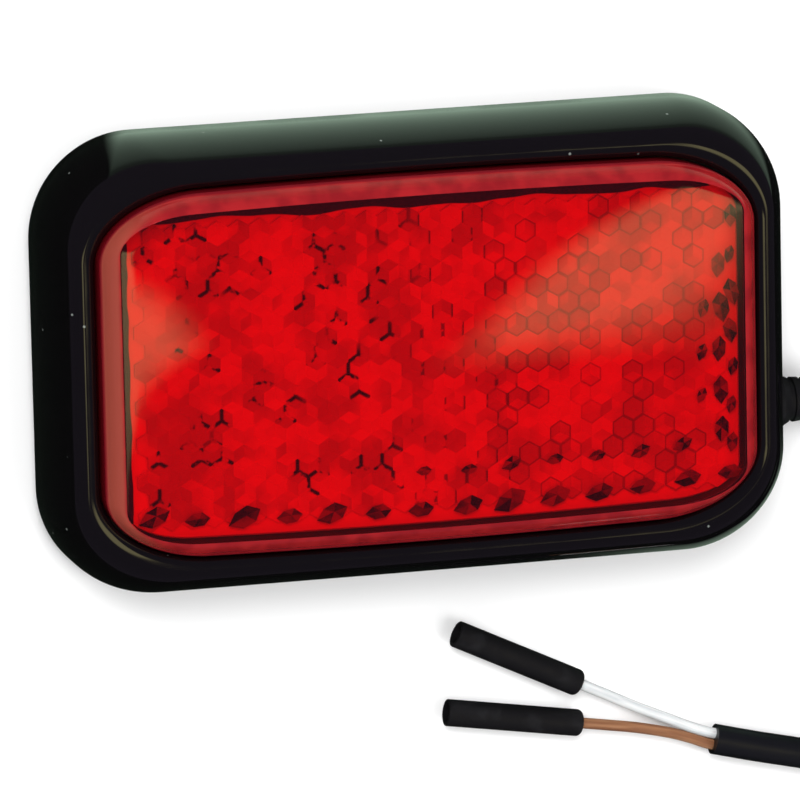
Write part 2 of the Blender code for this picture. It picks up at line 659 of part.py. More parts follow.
def build_lead():
    """The outer lead: run to the coil, coil, tie, and run back to the split into two cores."""
    start = Vector((WALL_INNER_X + BORE_GAP, EXIT_Y, EXIT_Z))
    lamp_run = [start, start + Vector((RELIEF_TAIL, 0.0, 0.0))]
    lamp_run += placed(LAMP_RUN, Vector((SIDE_X, 0.0, 0.0)), LIE_Z)
    lamp_run.append(coil_meeting(ENTRY_TURN, COIL_ENTRY_ANGLE, -1))
    tube("cable_lamp_run", lamp_run, SHEATH_RADIUS, SHEATH_BLACK, LAMP_RUN_STEP)
    leaving = coil_point(EXIT_TURN, COIL_EXIT_ANGLE)
    free_run = [coil_meeting(EXIT_TURN, COIL_EXIT_ANGLE, 1)] + placed(FREE_RUN, leaving, LIE_Z)
    tube("cable_free_run", free_run, SHEATH_RADIUS, SHEATH_BLACK, SHEATH_STEP)
    inner = COIL_MEAN_RADIUS - COIL_HALF_WIDTH
    edge = COIL_EDGE
    profile = [
        (inner + edge, COIL_TOP), (COIL_OUTER - edge, COIL_TOP), (COIL_OUTER, COIL_TOP - edge),
        (COIL_OUTER, COIL_BOTTOM + edge), (COIL_OUTER - edge, COIL_BOTTOM), (inner + edge, COIL_BOTTOM),
        (inner, COIL_BOTTOM + edge), (inner, COIL_TOP - edge),
    ]
    turned("cable_coil", profile, COIL_CENTRE, (0, 0, 1), SHEATH_BLACK, steps=COIL_STEPS)
    build_tie(inner, COIL_OUTER)


def build_tie(low, high):
    """Nylon tie strapped round the coil's turns, on the side away from the lamp."""
    outer_low = low - TIE_GAP - TIE_THICKNESS
    outer_high = high + TIE_GAP + TIE_THICKNESS
    bottom = COIL_BOTTOM - TIE_GAP - TIE_THICKNESS
    top = COIL_TOP + TIE_GAP + TIE_THICKNESS
    x, y = COIL_CENTRE.x, COIL_CENTRE.y
    near_corner = (x + outer_low, y - TIE_WIDTH / 2, bottom)
    far_corner = (x + outer_high, y + TIE_WIDTH / 2, top)
    tie = box("coil_tie", near_corner, far_corner, TIE_NYLON)
    window = box(
        "tie_window_cutter",
        (x + outer_low + TIE_THICKNESS, y - TIE_WIDTH, bottom + TIE_THICKNESS),
        (x + outer_high - TIE_THICKNESS, y + TIE_WIDTH, top - TIE_THICKNESS),
    )
    boolean(tie, window)


def build_core_end(name, end, axis, run, finish):
    """One core with its brass receptacle, and the insulating sleeve that slides back along the core."""
    leaving = coil_point(EXIT_TURN, COIL_EXIT_ANGLE)
    end = placed([end], leaving, SLEEVE_Z)[0]
    mouth = end + axis * SLEEVE_LENGTH
    bore = SLEEVE_RADIUS - SLEEVE_WALL
    neck = CORE_RADIUS + BORE_GAP
    profile = [
        (bore, SLEEVE_LENGTH), (SLEEVE_RADIUS, SLEEVE_LENGTH), (SLEEVE_RADIUS, SLEEVE_SHOULDER),
        (SLEEVE_RADIUS - SLEEVE_SHOULDER / 3, SLEEVE_SHOULDER / 3), (SLEEVE_RADIUS - SLEEVE_SHOULDER, 0.0),
        (neck, 0.0), (neck, SLEEVE_NECK), (bore, SLEEVE_NECK + bore - neck),
    ]
    turned(f"{name}_sleeve", profile, end, axis, SLEEVE_BLACK)
    contact_start = mouth - axis * (CONTACT_SETBACK + CONTACT_LENGTH)
    contact_bore = CONTACT_RADIUS - CONTACT_WALL
    contact = [
        (contact_bore, CONTACT_LENGTH), (CONTACT_RADIUS, CONTACT_LENGTH),
        (CONTACT_RADIUS, 0.0), (contact_bore, 0.0),
    ]
    turned(f"{name}_contact", contact, contact_start, axis, BRASS, steps=CONTACT_STEPS)
    core_start = mouth - axis * CORE_START
    route = [core_start, end + axis * SLEEVE_NECK, end, end - axis * CORE_STRAIGHT]
    route += placed(run, leaving, SLEEVE_Z)
    tube(f"{name}_core", route, CORE_RADIUS, finish, CORE_STEP)


def build_fixing_holes():
    """Cutters for the two fixing holes, shared by gasket and bezel."""
    tools = []
    for side in (-1, 1):
        place = (side * HOLE_SPACING / 2, 0.0, -TOOL_REACH)
        depth = FLOOR_TOP + 2 * TOOL_REACH
        tools.append(cone(f"hole_cutter_{side}", place, (0, 0, 1), HOLE_RADIUS, HOLE_RADIUS, depth))
    return tools


holes = build_fixing_holes()
build_gasket(holes)
build_bezel(holes)
build_housing()
build_lens()
build_optic()
build_board()
build_leds()
build_chips()
build_cable_entry()
build_strain_relief()
build_lead()
build_core_end("white", WHITE_SLEEVE_END, WHITE_SLEEVE_AXIS, WHITE_RUN, CORE_WHITE)
build_core_end("brown", BROWN_SLEEVE_END, BROWN_SLEEVE_AXIS, BROWN_RUN, CORE_BROWN)
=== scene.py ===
"""Looks for a small red LED trailer tail light: black bezel, domed lens over a prism plate, short lead.

The lamp lies on its back: +X is its long side, +Y its short side, +Z points out of the lens. In metres.
"""
import json
import math

import bmesh
import bpy
import numpy as np
from mathutils import Matrix, Vector


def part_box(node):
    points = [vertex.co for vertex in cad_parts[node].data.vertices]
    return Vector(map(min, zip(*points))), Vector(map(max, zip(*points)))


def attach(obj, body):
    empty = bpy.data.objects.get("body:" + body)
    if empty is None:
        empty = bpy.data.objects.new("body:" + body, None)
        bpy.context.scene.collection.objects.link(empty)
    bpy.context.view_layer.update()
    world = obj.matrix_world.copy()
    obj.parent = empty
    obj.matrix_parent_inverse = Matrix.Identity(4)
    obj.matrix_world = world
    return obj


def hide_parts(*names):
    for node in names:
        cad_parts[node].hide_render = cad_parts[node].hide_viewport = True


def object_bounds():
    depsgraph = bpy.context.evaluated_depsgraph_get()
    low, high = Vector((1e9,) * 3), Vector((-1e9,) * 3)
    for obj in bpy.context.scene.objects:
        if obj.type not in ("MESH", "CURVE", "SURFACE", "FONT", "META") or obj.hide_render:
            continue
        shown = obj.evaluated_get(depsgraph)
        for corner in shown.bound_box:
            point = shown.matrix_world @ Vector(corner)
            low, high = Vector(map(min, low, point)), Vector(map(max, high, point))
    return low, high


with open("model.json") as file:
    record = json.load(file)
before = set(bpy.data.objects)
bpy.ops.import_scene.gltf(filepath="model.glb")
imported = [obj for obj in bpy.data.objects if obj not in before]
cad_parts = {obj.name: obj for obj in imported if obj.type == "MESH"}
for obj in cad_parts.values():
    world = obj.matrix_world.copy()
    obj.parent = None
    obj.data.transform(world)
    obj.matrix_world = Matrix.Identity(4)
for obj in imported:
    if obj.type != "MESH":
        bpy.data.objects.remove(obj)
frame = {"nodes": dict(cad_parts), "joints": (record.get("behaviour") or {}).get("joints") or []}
MM = 0.001
cad_low, cad_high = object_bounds()

# Shared places, read from the frame
BEZEL_LOW, BEZEL_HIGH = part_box("mounting_bezel")
LENS_LOW, LENS_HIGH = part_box("outer_lens")
OPTIC_LOW, OPTIC_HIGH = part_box("reflex_optic")
RELIEF_LOW, RELIEF_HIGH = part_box("strain_relief")
COIL_LOW, COIL_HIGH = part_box("cable_coil")
TIE_LOW, TIE_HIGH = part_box("coil_tie")
GASKET_LOW, GASKET_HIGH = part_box("base_gasket")
JOINTS = {joint["name"]: joint for joint in frame["joints"]}

HALF_X = BEZEL_HIGH.x
HALF_Y = BEZEL_HIGH.y
LENS_INSET = HALF_X - LENS_HIGH.x
OPTIC_INSET = HALF_X - OPTIC_HIGH.x
GASKET_INSET = 0.55 * MM
OPENING_INSET = 3.10 * MM
OUTER_CORNER = 8.00 * MM
OPENING_CORNER = (8.50 * MM, 5.60 * MM)
EDGE_BOW = 0.40 * MM
SLACK = 0.10 * MM

# Bezel section
FLOOR_THICKNESS = 1.60 * MM
STRAIGHT_SIDE = 2.75 * MM
SHOULDER_WIDTH = 2.30 * MM
LIP_WIDTH = 0.80 * MM
LIP_DROP = 0.36 * MM
FOOT_EDGE = 0.25 * MM

# Holes, channel and slot in the bezel
HOLE_SPACING = 35.0 * MM
HOLE_RADIUS = 1.70 * MM
SINK_RADIUS = 3.00 * MM
CHANNEL_START = 10.4 * MM
CHANNEL_GAP = 0.35 * MM
CHANNEL_HEAD = 1.0 * MM
SLOT_RADIUS = 1.90 * MM

# Lens section
LENS_WALL = 1.10 * MM
LENS_SHOULDER = 1.40 * MM
RIM_EDGE = 0.24 * MM
RIM_DROP = 1.35 * MM
LENS_CROWN = 0.80 * MM
RIM_EDGE_Z = LENS_HIGH.z - LENS_CROWN - RIM_DROP
CROWN_POWERS = (2.4, 2.2)

# Node kinds and settings that come up often
MATH = "ShaderNodeMath"
RANGE = "ShaderNodeMapRange"
NOISE = "ShaderNodeTexNoise"
VORONOI = "ShaderNodeTexVoronoi"
MIX = "ShaderNodeMix"
BUMP = "ShaderNodeBump"
SPLIT = "ShaderNodeSeparateXYZ"
JOIN = "ShaderNodeCombineXYZ"
COORDS = "ShaderNodeTexCoord"
SHADE = "ShaderNodeMixShader"
SMOOTH = {"interpolation_type": "SMOOTHSTEP"}
RGBA = {"data_type": "RGBA"}


# ---------------------------------------------------------------- small tools

def linked(name, data):
    """A new object in the scene."""
    made = bpy.data.objects.new(name, data)
    bpy.context.scene.collection.objects.link(made)
    return made


def mesh_of(name, work, sharp=None):
    """The mesh of a bmesh, smooth where its faces meet at less than the sharp angle in degrees."""
    mesh = bpy.data.meshes.new(name)
    work.to_mesh(mesh)
    work.free()
    if sharp is not None:
        mesh.shade_smooth()
        mesh.set_sharp_from_angle(angle=math.radians(sharp))
    return mesh


def skin(work, low, high):
    """Faces between two closed rings of vertices."""
    pairs = [(index, (index + 1) % len(low)) for index in range(len(low))]
    return [work.faces.new((low[here], low[after], high[after], high[here])) for here, after in pairs]


def linear(code):
    """A linear colour from an sRGB hex code."""
    parts = [int(code[i:i + 2], 16) / 255 for i in (1, 3, 5)]
    lin = [c / 12.92 if c <= 0.04045 else ((c + 0.055) / 1.055) ** 2.4 for c in parts]
    return (*lin, 1.0)


def feed(tree, target, links):
    """Give each input a value, an sRGB hex colour, an output, or the first output in use of a node."""
    for name, value in links.items():
        if isinstance(value, str) and value.startswith("#"):
            value = linear(value)
        if isinstance(value, bpy.types.Node):
            value = next(output for output in value.outputs if output.enabled)
        if isinstance(value, bpy.types.NodeSocket):
            tree.links.new(value, target.inputs[name])
        else:
            target.inputs[name].default_value = value


def node(tree, kind, links=None, **settings):
    """Add a node with its settings and links."""
    made = tree.nodes.new(kind)
    for name, value in settings.items():
        setattr(made, name, value)
    feed(tree, made, links or {})
    return made


def soft_mask(tree, limits, top=1.0):
    """Top past every limit, 0 before any, smooth between; a limit is (value, 0 at, full at)."""
    mask = top
    for value, low, high in limits:
        edge = node(tree, RANGE, {0: value, 1: low, 2: high}, **SMOOTH)
        mask = node(tree, MATH, {0: mask, 1: edge}, operation="MULTIPLY")
    return mask


# ---------------------------------------------------------------- camera, floor and light

VIEW_TARGET = Vector((-0.13, -5.02, 1.05)) * MM
VIEW_BACK = Vector((-0.25426, 0.20442, 0.94529)).normalized()
VIEW_UP = Vector((0.07397, 0.97865, -0.19174)).normalized()
VIEW_DISTANCE = 700 * MM
LENS_MM = 411.5

# Lamps: place, size of each side and watts
LAMPS = {
    "key": ((-0.25, 0.45, 0.75), 0.5, 7.6),
    "fill": ((0.45, -0.25, 0.70), 0.5, 3.4),
}

# Panels that only the gloss sees. A direction is measured as its X and Y over its Z (across and along),
# and as slanted mixes of the two (lean and drift); each limit is (measure, 0 at, full at).
PANEL_SLANTS = {"lean": -0.24, "drift": -2.2}
OVERHEAD = ("up", 0.15, 0.25)
WIDE_PANEL = [
    OVERHEAD, ("lean", 0.317, 0.352), ("along", -0.232, -0.165), ("along", 0.05, 0.01),
    ("across", 0.62, 0.50),
]
SIDE_PANEL = [
    OVERHEAD, ("drift", 0.565, 0.530), ("across", 0.150, 0.108), ("along", -0.245, -0.200),
    ("along", -0.125, -0.155), ("across", -0.10, 0.0),
]
PANEL_COLOUR = (1.0, 0.88, 0.46, 1.0)
PANEL_STRENGTH = 2.1
ROOM_STRENGTH = 0.58

# What the gloss sees of the floor, a glow that shows only in reflections as a painted reflection on the
# bezel: a fading band past the lamp's top edge, and a patch at its lower right
BAND_START = (0.014, 0.0185)
BAND_SLANT = 0.46
BAND_SLANT_START = (-0.0150, -0.0128)
BAND_FADE = {1: 0.018, 2: 0.075, 3: 0.60, 4: 0.17}
PATCH_LEVEL = 0.34
PATCH_Y = ((-0.010, -0.018), (-0.034, -0.026))
PATCH_X = ((0.012, 0.030), (0.09, 0.05))
FLOOR_LEVEL = 0.012
FLOOR_TINT = (0.72, 1.0, 0.77, 1.0)
FLOOR_HALF = 3.0


def add_camera():
    """A long lens above the lamp, a little to the left of it and towards its top edge."""
    data = bpy.data.cameras.new("camera")
    data.lens = LENS_MM
    data.sensor_width = 36.0
    data.clip_start = 0.05
    data.clip_end = 20.0
    camera = linked("camera", data)
    right = VIEW_UP.cross(VIEW_BACK).normalized()
    up = VIEW_BACK.cross(right)
    turn = Matrix((right, up, VIEW_BACK)).transposed().to_4x4()
    camera.matrix_world = Matrix.Translation(VIEW_TARGET + VIEW_BACK * VIEW_DISTANCE) @ turn
    bpy.context.scene.camera = camera


def add_lamp(name, place, side, power):
    """A white square soft box that looks at the lamp; neither the gloss nor the clear plastic shows it."""
    data = bpy.data.lights.new(name, "AREA")
    data.shape = "SQUARE"
    data.size = side
    data.energy = power
    lamp = linked(name, data)
    lamp.location = place
    lamp.rotation_euler = (-Vector(place)).to_track_quat("-Z", "Y").to_euler()
    lamp.visible_glossy = False
    lamp.visible_transmission = False
    lamp.visible_camera = False


def mirrored(tree):
    """1 for a ray off a shiny face, 0 for one off a dull face or through clear plastic."""
    path = node(tree, "ShaderNodeLightPath")
    outside = node(tree, MATH, {0: 1.0, 1: path.outputs["Is Transmission Ray"]}, operation="SUBTRACT")
    return node(tree, MATH, {0: path.outputs["Is Glossy Ray"], 1: outside}, operation="MULTIPLY")


def add_world():
    """A pale room for the eye; for the gloss a dark one with two weak warm panels overhead."""
    world = bpy.data.worlds.new("studio")
    bpy.context.scene.world = world
    world.use_nodes = True
    tree = world.node_tree
    tree.nodes.clear()
    toward = node(tree, SPLIT, {0: node(tree, COORDS).outputs["Generated"]})
    measures = {"up": toward.outputs[2]}
    for name, part in (("across", 0), ("along", 1)):
        measures[name] = node(tree, MATH, {0: toward.outputs[part], 1: toward.outputs[2]}, operation="DIVIDE")
    for name, slant in PANEL_SLANTS.items():
        parts = {0: measures["along"], 1: slant, 2: measures["across"]}
        measures[name] = node(tree, MATH, parts, operation="MULTIPLY_ADD")
    panels = [
        soft_mask(tree, [(measures[name], low, high) for name, low, high in limits])
        for limits in (WIDE_PANEL, SIDE_PANEL)
    ]
    shine = node(tree, MATH, {0: panels[0], 1: panels[1]}, operation="ADD")
    pale = node(tree, "ShaderNodeBackground", {"Color": "#FFFFFF", "Strength": ROOM_STRENGTH})
    dark = node(tree, "ShaderNodeBackground", {"Color": "#585060", "Strength": 1.0})
    panel = node(tree, "ShaderNodeBackground", {"Color": PANEL_COLOUR, "Strength": PANEL_STRENGTH})
    gloss = node(tree, SHADE, {0: shine, 1: dark, 2: panel})
    mixed = node(tree, SHADE, {0: mirrored(tree), 1: pale, 2: gloss})
    node(tree, "ShaderNodeOutputWorld", {"Surface": mixed})


def add_floor():
    """A wide sheet of white paper; the gloss sees it dark, with a grey-green band and patch that glow as
    painted reflections.
    """
    work = bmesh.new()
    bmesh.ops.create_grid(work, x_segments=1, y_segments=1, size=FLOOR_HALF)
    floor = linked("floor", mesh_of("floor", work))
    floor.location.z = cad_low.z - 0.01 * MM
    made = bpy.data.materials.new("white_paper")
    made.use_nodes = True
    tree = made.node_tree
    tree.nodes.clear()
    paper = node(tree, "ShaderNodeBsdfDiffuse", {"Color": "#F6F6F6"})
    split = node(tree, SPLIT, {0: node(tree, COORDS).outputs["Object"]})
    x, y = split.outputs["X"], split.outputs["Y"]
    slant = node(tree, MATH, {0: y, 1: BAND_SLANT, 2: x}, operation="MULTIPLY_ADD")
    band = soft_mask(tree, [(y, *BAND_START), (slant, *BAND_SLANT_START)])
    fade = node(tree, RANGE, {0: y, **BAND_FADE})
    sides = [(y, *limit) for limit in PATCH_Y] + [(x, *limit) for limit in PATCH_X]
    patch = soft_mask(tree, sides, PATCH_LEVEL)
    level = node(tree, MATH, {0: band, 1: fade, 2: patch}, operation="MULTIPLY_ADD")
    level = node(tree, MATH, {0: level, 1: FLOOR_LEVEL}, operation="ADD")
    # Emission seen only by shiny faces: a painted reflection, not a lamp
    reflected_glow = node(tree, "ShaderNodeEmission", {"Color": FLOOR_TINT, "Strength": level})
    mixed = node(tree, SHADE, {0: mirrored(tree), 1: paper, 2: reflected_glow})
    node(tree, "ShaderNodeOutputMaterial", {"Surface": mixed})
    floor.data.materials.append(made)


bpy.context.scene.view_settings.view_transform = "Standard"
add_camera()
add_world()
add_floor()
for name, (place, side, power) in LAMPS.items():
    add_lamp(name, place, side, power)


# ---------------------------------------------------------------- the lead's route

def route_mm(*points):
    """Route points given in millimetres."""
    return [Vector(point) * MM for point in points]


LAMP_RUN = route_mm(
    (26.0, -7.0, 2.50), (30.0, -7.0, 2.50), (34.2, -7.0, 2.50), (37.4, -7.0, 1.86),
    (40.6, -7.2, 1.27), (43.4, -7.5, 1.22), (46.7, -8.19, 1.22),
)
FREE_RUN = route_mm((34.0, -36.2, 1.22), (31.4, -35.5, 1.22), (28.0, -34.7, 1.22), (24.5, -33.8, 1.22))
WHITE_RUN = route_mm((18.3, -30.75, 1.07), (20.8, -31.88, 1.10), (22.7, -32.72, 1.18), (24.2, -33.26, 1.22))
BROWN_RUN = route_mm((18.3, -32.40, 1.07), (20.8, -32.98, 1.10), (22.6, -33.55, 1.18), (24.1, -34.15, 1.22))
FREE_END = Vector((0.968, -0.249, 0.0))
CORE_OVERLAP = 1.5 * MM
CORE_RADIUS = 0.425 * MM
CORE_START = 6.70 * MM
CORE_STRAIGHT = 2.0 * MM
SLEEVE_RADIUS = 1.05 * MM
SLEEVE_WALL = 0.30 * MM
SLEEVE_SHOULDER = 0.45 * MM
SLEEVE_NECK = 1.60 * MM
SHEATH_RADIUS = 1.20 * MM
EXIT = Vector((BEZEL_HIGH.x, -7.0 * MM, 2.50 * MM))

# The coil: spans are degrees swept since the lead entered it
COIL_CENTRE = (COIL_LOW + COIL_HIGH) / 2
TURN_PITCH = 2.50 * MM
MEAN_TURN = (COIL_HIGH.x - COIL_LOW.x) / 2 - 1.5 * TURN_PITCH
REST_Z = 1.22 * MM
STACK_Z = 2.10 * MM
HUMP_Z = 0.42 * MM
TIE_LIFT = 0.48 * MM
TIE_SPREAD = 16.0
COIL_ENTRY = 75.0
COIL_SWEEP = 1619.0
COIL_POINTS = 110
TURN_STEPS = [(-1.0, 300, 360), (-1.0, 660, 720), (0.5, 960, 1020), (1.0, 1290, 1370)]
STACK_SPAN = (955, 1015)
HUMPS = [(1000, 1100), (1285, 1375), (1365, 1455)]
LAST_RISE = (1590, 1619)
# Past the coil, over its outer turn: distance and height in millimetres
WAY_DOWN = [(3.0, 3.70), (6.0, 3.72), (8.5, 3.35), (11.0, 2.30)]
SHEATH_SPACING = 0.9 * MM
CORE_SPACING = 0.4 * MM
CURVE_STEPS = 16


def eased(value, low, high):
    """0 below low, 1 above high, and smooth between them."""
    share = min(max((value - low) / (high - low), 0.0), 1.0)
    return share * share * (3 - 2 * share)


def bump(value, low, high):
    """A smooth rise and fall between two values."""
    share = min(max((value - low) / (high - low), 0.0), 1.0)
    return math.sin(math.pi * share) ** 2


def coil_point(swept):
    """The lead in the coil: three turns inwards on the floor, then two outwards in the grooves above them."""
    turns = 1 + sum(share * eased(swept, low, high) for share, low, high in TURN_STEPS)
    radius = MEAN_TURN + TURN_PITCH * turns
    humps = sum(bump(swept, low, high) for low, high in HUMPS) + eased(swept, *LAST_RISE)
    height = REST_Z + STACK_Z * eased(swept, *STACK_SPAN) + HUMP_Z * humps
    angle = math.radians(COIL_ENTRY - swept)
    height += TIE_LIFT * math.exp(-(math.remainder(angle, 2 * math.pi) / math.radians(TIE_SPREAD)) ** 2)
    x, y = COIL_CENTRE.x + radius * math.cos(angle), COIL_CENTRE.y + radius * math.sin(angle)
    return Vector((x, y, height))


def smooth_route(points, spacing):
    """Evenly spaced points on a smooth curve through a route."""
    knots = [points[0] * 2 - points[1]] + list(points) + [points[-1] * 2 - points[-2]]
    dense = []
    for index in range(1, len(knots) - 2):
        before, low, high, after = knots[index - 1:index + 3]
        for step in range(CURVE_STEPS):
            t = step / CURVE_STEPS
            dense.append(0.5 * (
                2 * low + (high - before) * t + (2 * before - 5 * low + 4 * high - after) * t * t
                + (3 * low - before - 3 * high + after) * t ** 3
            ))
    dense.append(knots[-2])
    lengths = [0.0]
    for low, high in zip(dense, dense[1:]):
        lengths.append(lengths[-1] + (high - low).length)
    count = max(2, round(lengths[-1] / spacing))
    places = np.linspace(0, lengths[-1], count + 1)
    axes = [np.interp(places, lengths, [point[axis] for point in dense]) for axis in range(3)]
    return [Vector(place) for place in zip(*axes)]


def sheath_route():
    """From the strain relief round the coil and back to where the cores come out."""
    coil = [coil_point(swept) for swept in np.linspace(0, COIL_SWEEP, COIL_POINTS)]
    angle = math.radians(COIL_ENTRY - COIL_SWEEP)
    heading = Vector((math.sin(angle), -math.cos(angle), 0.0))
    over = [coil[-1] + heading * reach * MM for reach, _ in WAY_DOWN]
    for place, (_, height) in zip(over, WAY_DOWN):
        place.z = height * MM
    route = smooth_route(LAMP_RUN + coil + over + FREE_RUN, SHEATH_SPACING)
    for place in route:
        place.z = max(place.z, REST_Z)
    return route


def tube_mesh(name, path, radius, sides):
    """A round tube along a path, with its length in millimetres and its girth in turns as UVs."""
    work = bmesh.new()
    uv_layer = work.loops.layers.uv.new("UVMap")
    tangent = (path[1] - path[0]).normalized()
    side = tangent.orthogonal().normalized()
    turns = [2 * math.pi * step / sides for step in range(sides)]
    rings, along = [], [0.0]
    for index, place in enumerate(path):
        ahead = (path[min(index + 1, len(path) - 1)] - path[max(index - 1, 0)]).normalized()
        side = tangent.rotation_difference(ahead) @ side
        side = (side - ahead * side.dot(ahead)).normalized()
        tangent = ahead
        up = tangent.cross(side)
        if index:
            along.append(along[-1] + (place - path[index - 1]).length / MM)
        out = [side * math.cos(turn) + up * math.sin(turn) for turn in turns]
        rings.append([work.verts.new(place + way * radius) for way in out])
    for index, (low, high) in enumerate(zip(rings, rings[1:])):
        start, end = along[index:index + 2]
        for step, face in enumerate(skin(work, low, high)):
            corners = [(start, step), (start, step + 1), (end, step + 1), (end, step)]
            for loop, (length, girth) in zip(face.loops, corners):
                loop[uv_layer].uv = (length, girth / sides)
    work.faces.new(list(reversed(rings[0])))
    work.faces.new(rings[-1])
    bmesh.ops.recalc_face_normals(work, faces=work.faces)
    return mesh_of(name, work, 40)


def piece(name, mesh, body, finish, stands_for=()):
    """Link a finished mesh as a piece that rides on a body and stands for CAD nodes."""
    made = linked(name, mesh)
    if finish is not None:
        mesh.materials.clear()
        for one in finish if isinstance(finish, tuple) else (finish,):
            mesh.materials.append(one)
    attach(made, body)
    if stands_for:
        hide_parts(*stands_for)
    return made


# ---------------------------------------------------------------- materials

def new_material(name, colour, roughness, metallic=0.0, ior=1.5, specular=0.5):
    """A Principled material with plain settings, with its tree and shader."""
    made = bpy.data.materials.new(name)
    made.use_nodes = True
    tree = made.node_tree
    shader = tree.nodes["Principled BSDF"]
    feed(tree, shader, {
        "Base Color": colour, "Roughness": roughness, "Metallic": metallic, "IOR": ior,
        "Specular IOR Level": specular,
    })
    return made, tree, shader


def per(size_mm):
    """Texture scale whose features are about this many millimetres across."""
    return 1.0 / (size_mm * MM)


def gloss_abs():
    """Gloss ABS from a polished mould: deep black and mirror-like, with a faint ripple and dust."""
    made, tree, shader = new_material("abs_gloss_black_moulded", "#060506", 0.12, ior=1.54)
    where = node(tree, COORDS).outputs["Object"]
    haze = node(tree, NOISE, {"Vector": where, "Scale": per(6.0), "Detail": 3.0})
    specks = node(tree, VORONOI, {"Vector": where, "Scale": per(1.7)})
    pick = node(tree, NOISE, {"Vector": where, "Scale": per(3.1), "Detail": 0.0})
    dust = soft_mask(tree, [(specks, 0.085, 0.04), (pick, 0.60, 0.62)])
    ripple = node(tree, NOISE, {"Vector": where, "Scale": per(4.0), "Detail": 1.0})
    feed(tree, shader, {
        "Base Color": node(tree, MIX, {0: dust, 6: "#060506", 7: "#6E7470"}, **RGBA),
        "Roughness": node(tree, RANGE, {0: haze, 1: 0.3, 2: 0.75, 3: 0.05, 4: 0.11}, **SMOOTH),
        "Normal": node(tree, BUMP, {"Height": ripple, "Strength": 0.25, "Distance": 0.04 * MM}),
    })
    return made


def lens_acrylic():
    """Clear red acrylic, moulded and polished: glossy, tinted, lets the lamps through to the plate below."""
    made, tree, shader = new_material("acrylic_clear_red_moulded", "#FF1440", 0.02, ior=1.49)
    where = node(tree, COORDS).outputs["Object"]
    haze = node(tree, NOISE, {"Vector": where, "Scale": per(7.0), "Detail": 3.0})
    feed(tree, shader, {
        "Transmission Weight": 1.0,
        "Roughness": node(tree, RANGE, {0: haze, 1: 0.3, 2: 0.75, 3: 0.015, 4: 0.05}, **SMOOTH),
    })
    path = node(tree, "ShaderNodeLightPath")
    through = node(tree, "ShaderNodeBsdfTransparent", {"Color": "#FF9098"})
    mixed = node(tree, SHADE, {0: path.outputs["Is Shadow Ray"], 1: shader, 2: through})
    feed(tree, tree.nodes["Material Output"], {"Surface": mixed})
    return made


def rim_acrylic():
    """The same acrylic through its thick moulded rim: denser, cloudy, with a painted salmon highlight on the
    left-facing shoulder and painted shade on the side wall below it.
    """
    made, tree, shader = new_material("acrylic_red_rim_moulded", "#8E1A20", 0.12, ior=1.49)
    where = node(tree, COORDS).outputs["Object"]
    leftward = node(tree, SPLIT, {0: node(tree, "ShaderNodeNewGeometry").outputs["Normal"]}).outputs["X"]
    height = node(tree, SPLIT, {0: where}).outputs["Z"]
    streak = node(tree, NOISE, {"Vector": where, "Scale": per(2.2)})
    above_edge = (height, RIM_EDGE_Z - 0.1 * MM, RIM_EDGE_Z + 0.1 * MM)
    cloud = soft_mask(tree, [(streak, 0.35, 0.65)])
    red = node(tree, MIX, {0: cloud, 6: "#84141A", 7: "#9C1C20"}, **RGBA)
    # Below the rim edge the side wall is darker: painted shade in the groove beside the bezel lip.
    side = node(tree, MIX, {0: soft_mask(tree, [above_edge]), 6: "#6A0C16", 7: red}, **RGBA)
    # Salmon where the shoulder above the rim edge faces left: a painted highlight.
    pale = soft_mask(tree, [(leftward, -0.15, -0.6), above_edge])
    feed(tree, shader, {
        "Transmission Weight": 0.12,
        "Base Color": node(tree, MIX, {0: pale, 6: side, 7: "#934034"}, **RGBA),
    })
    return made


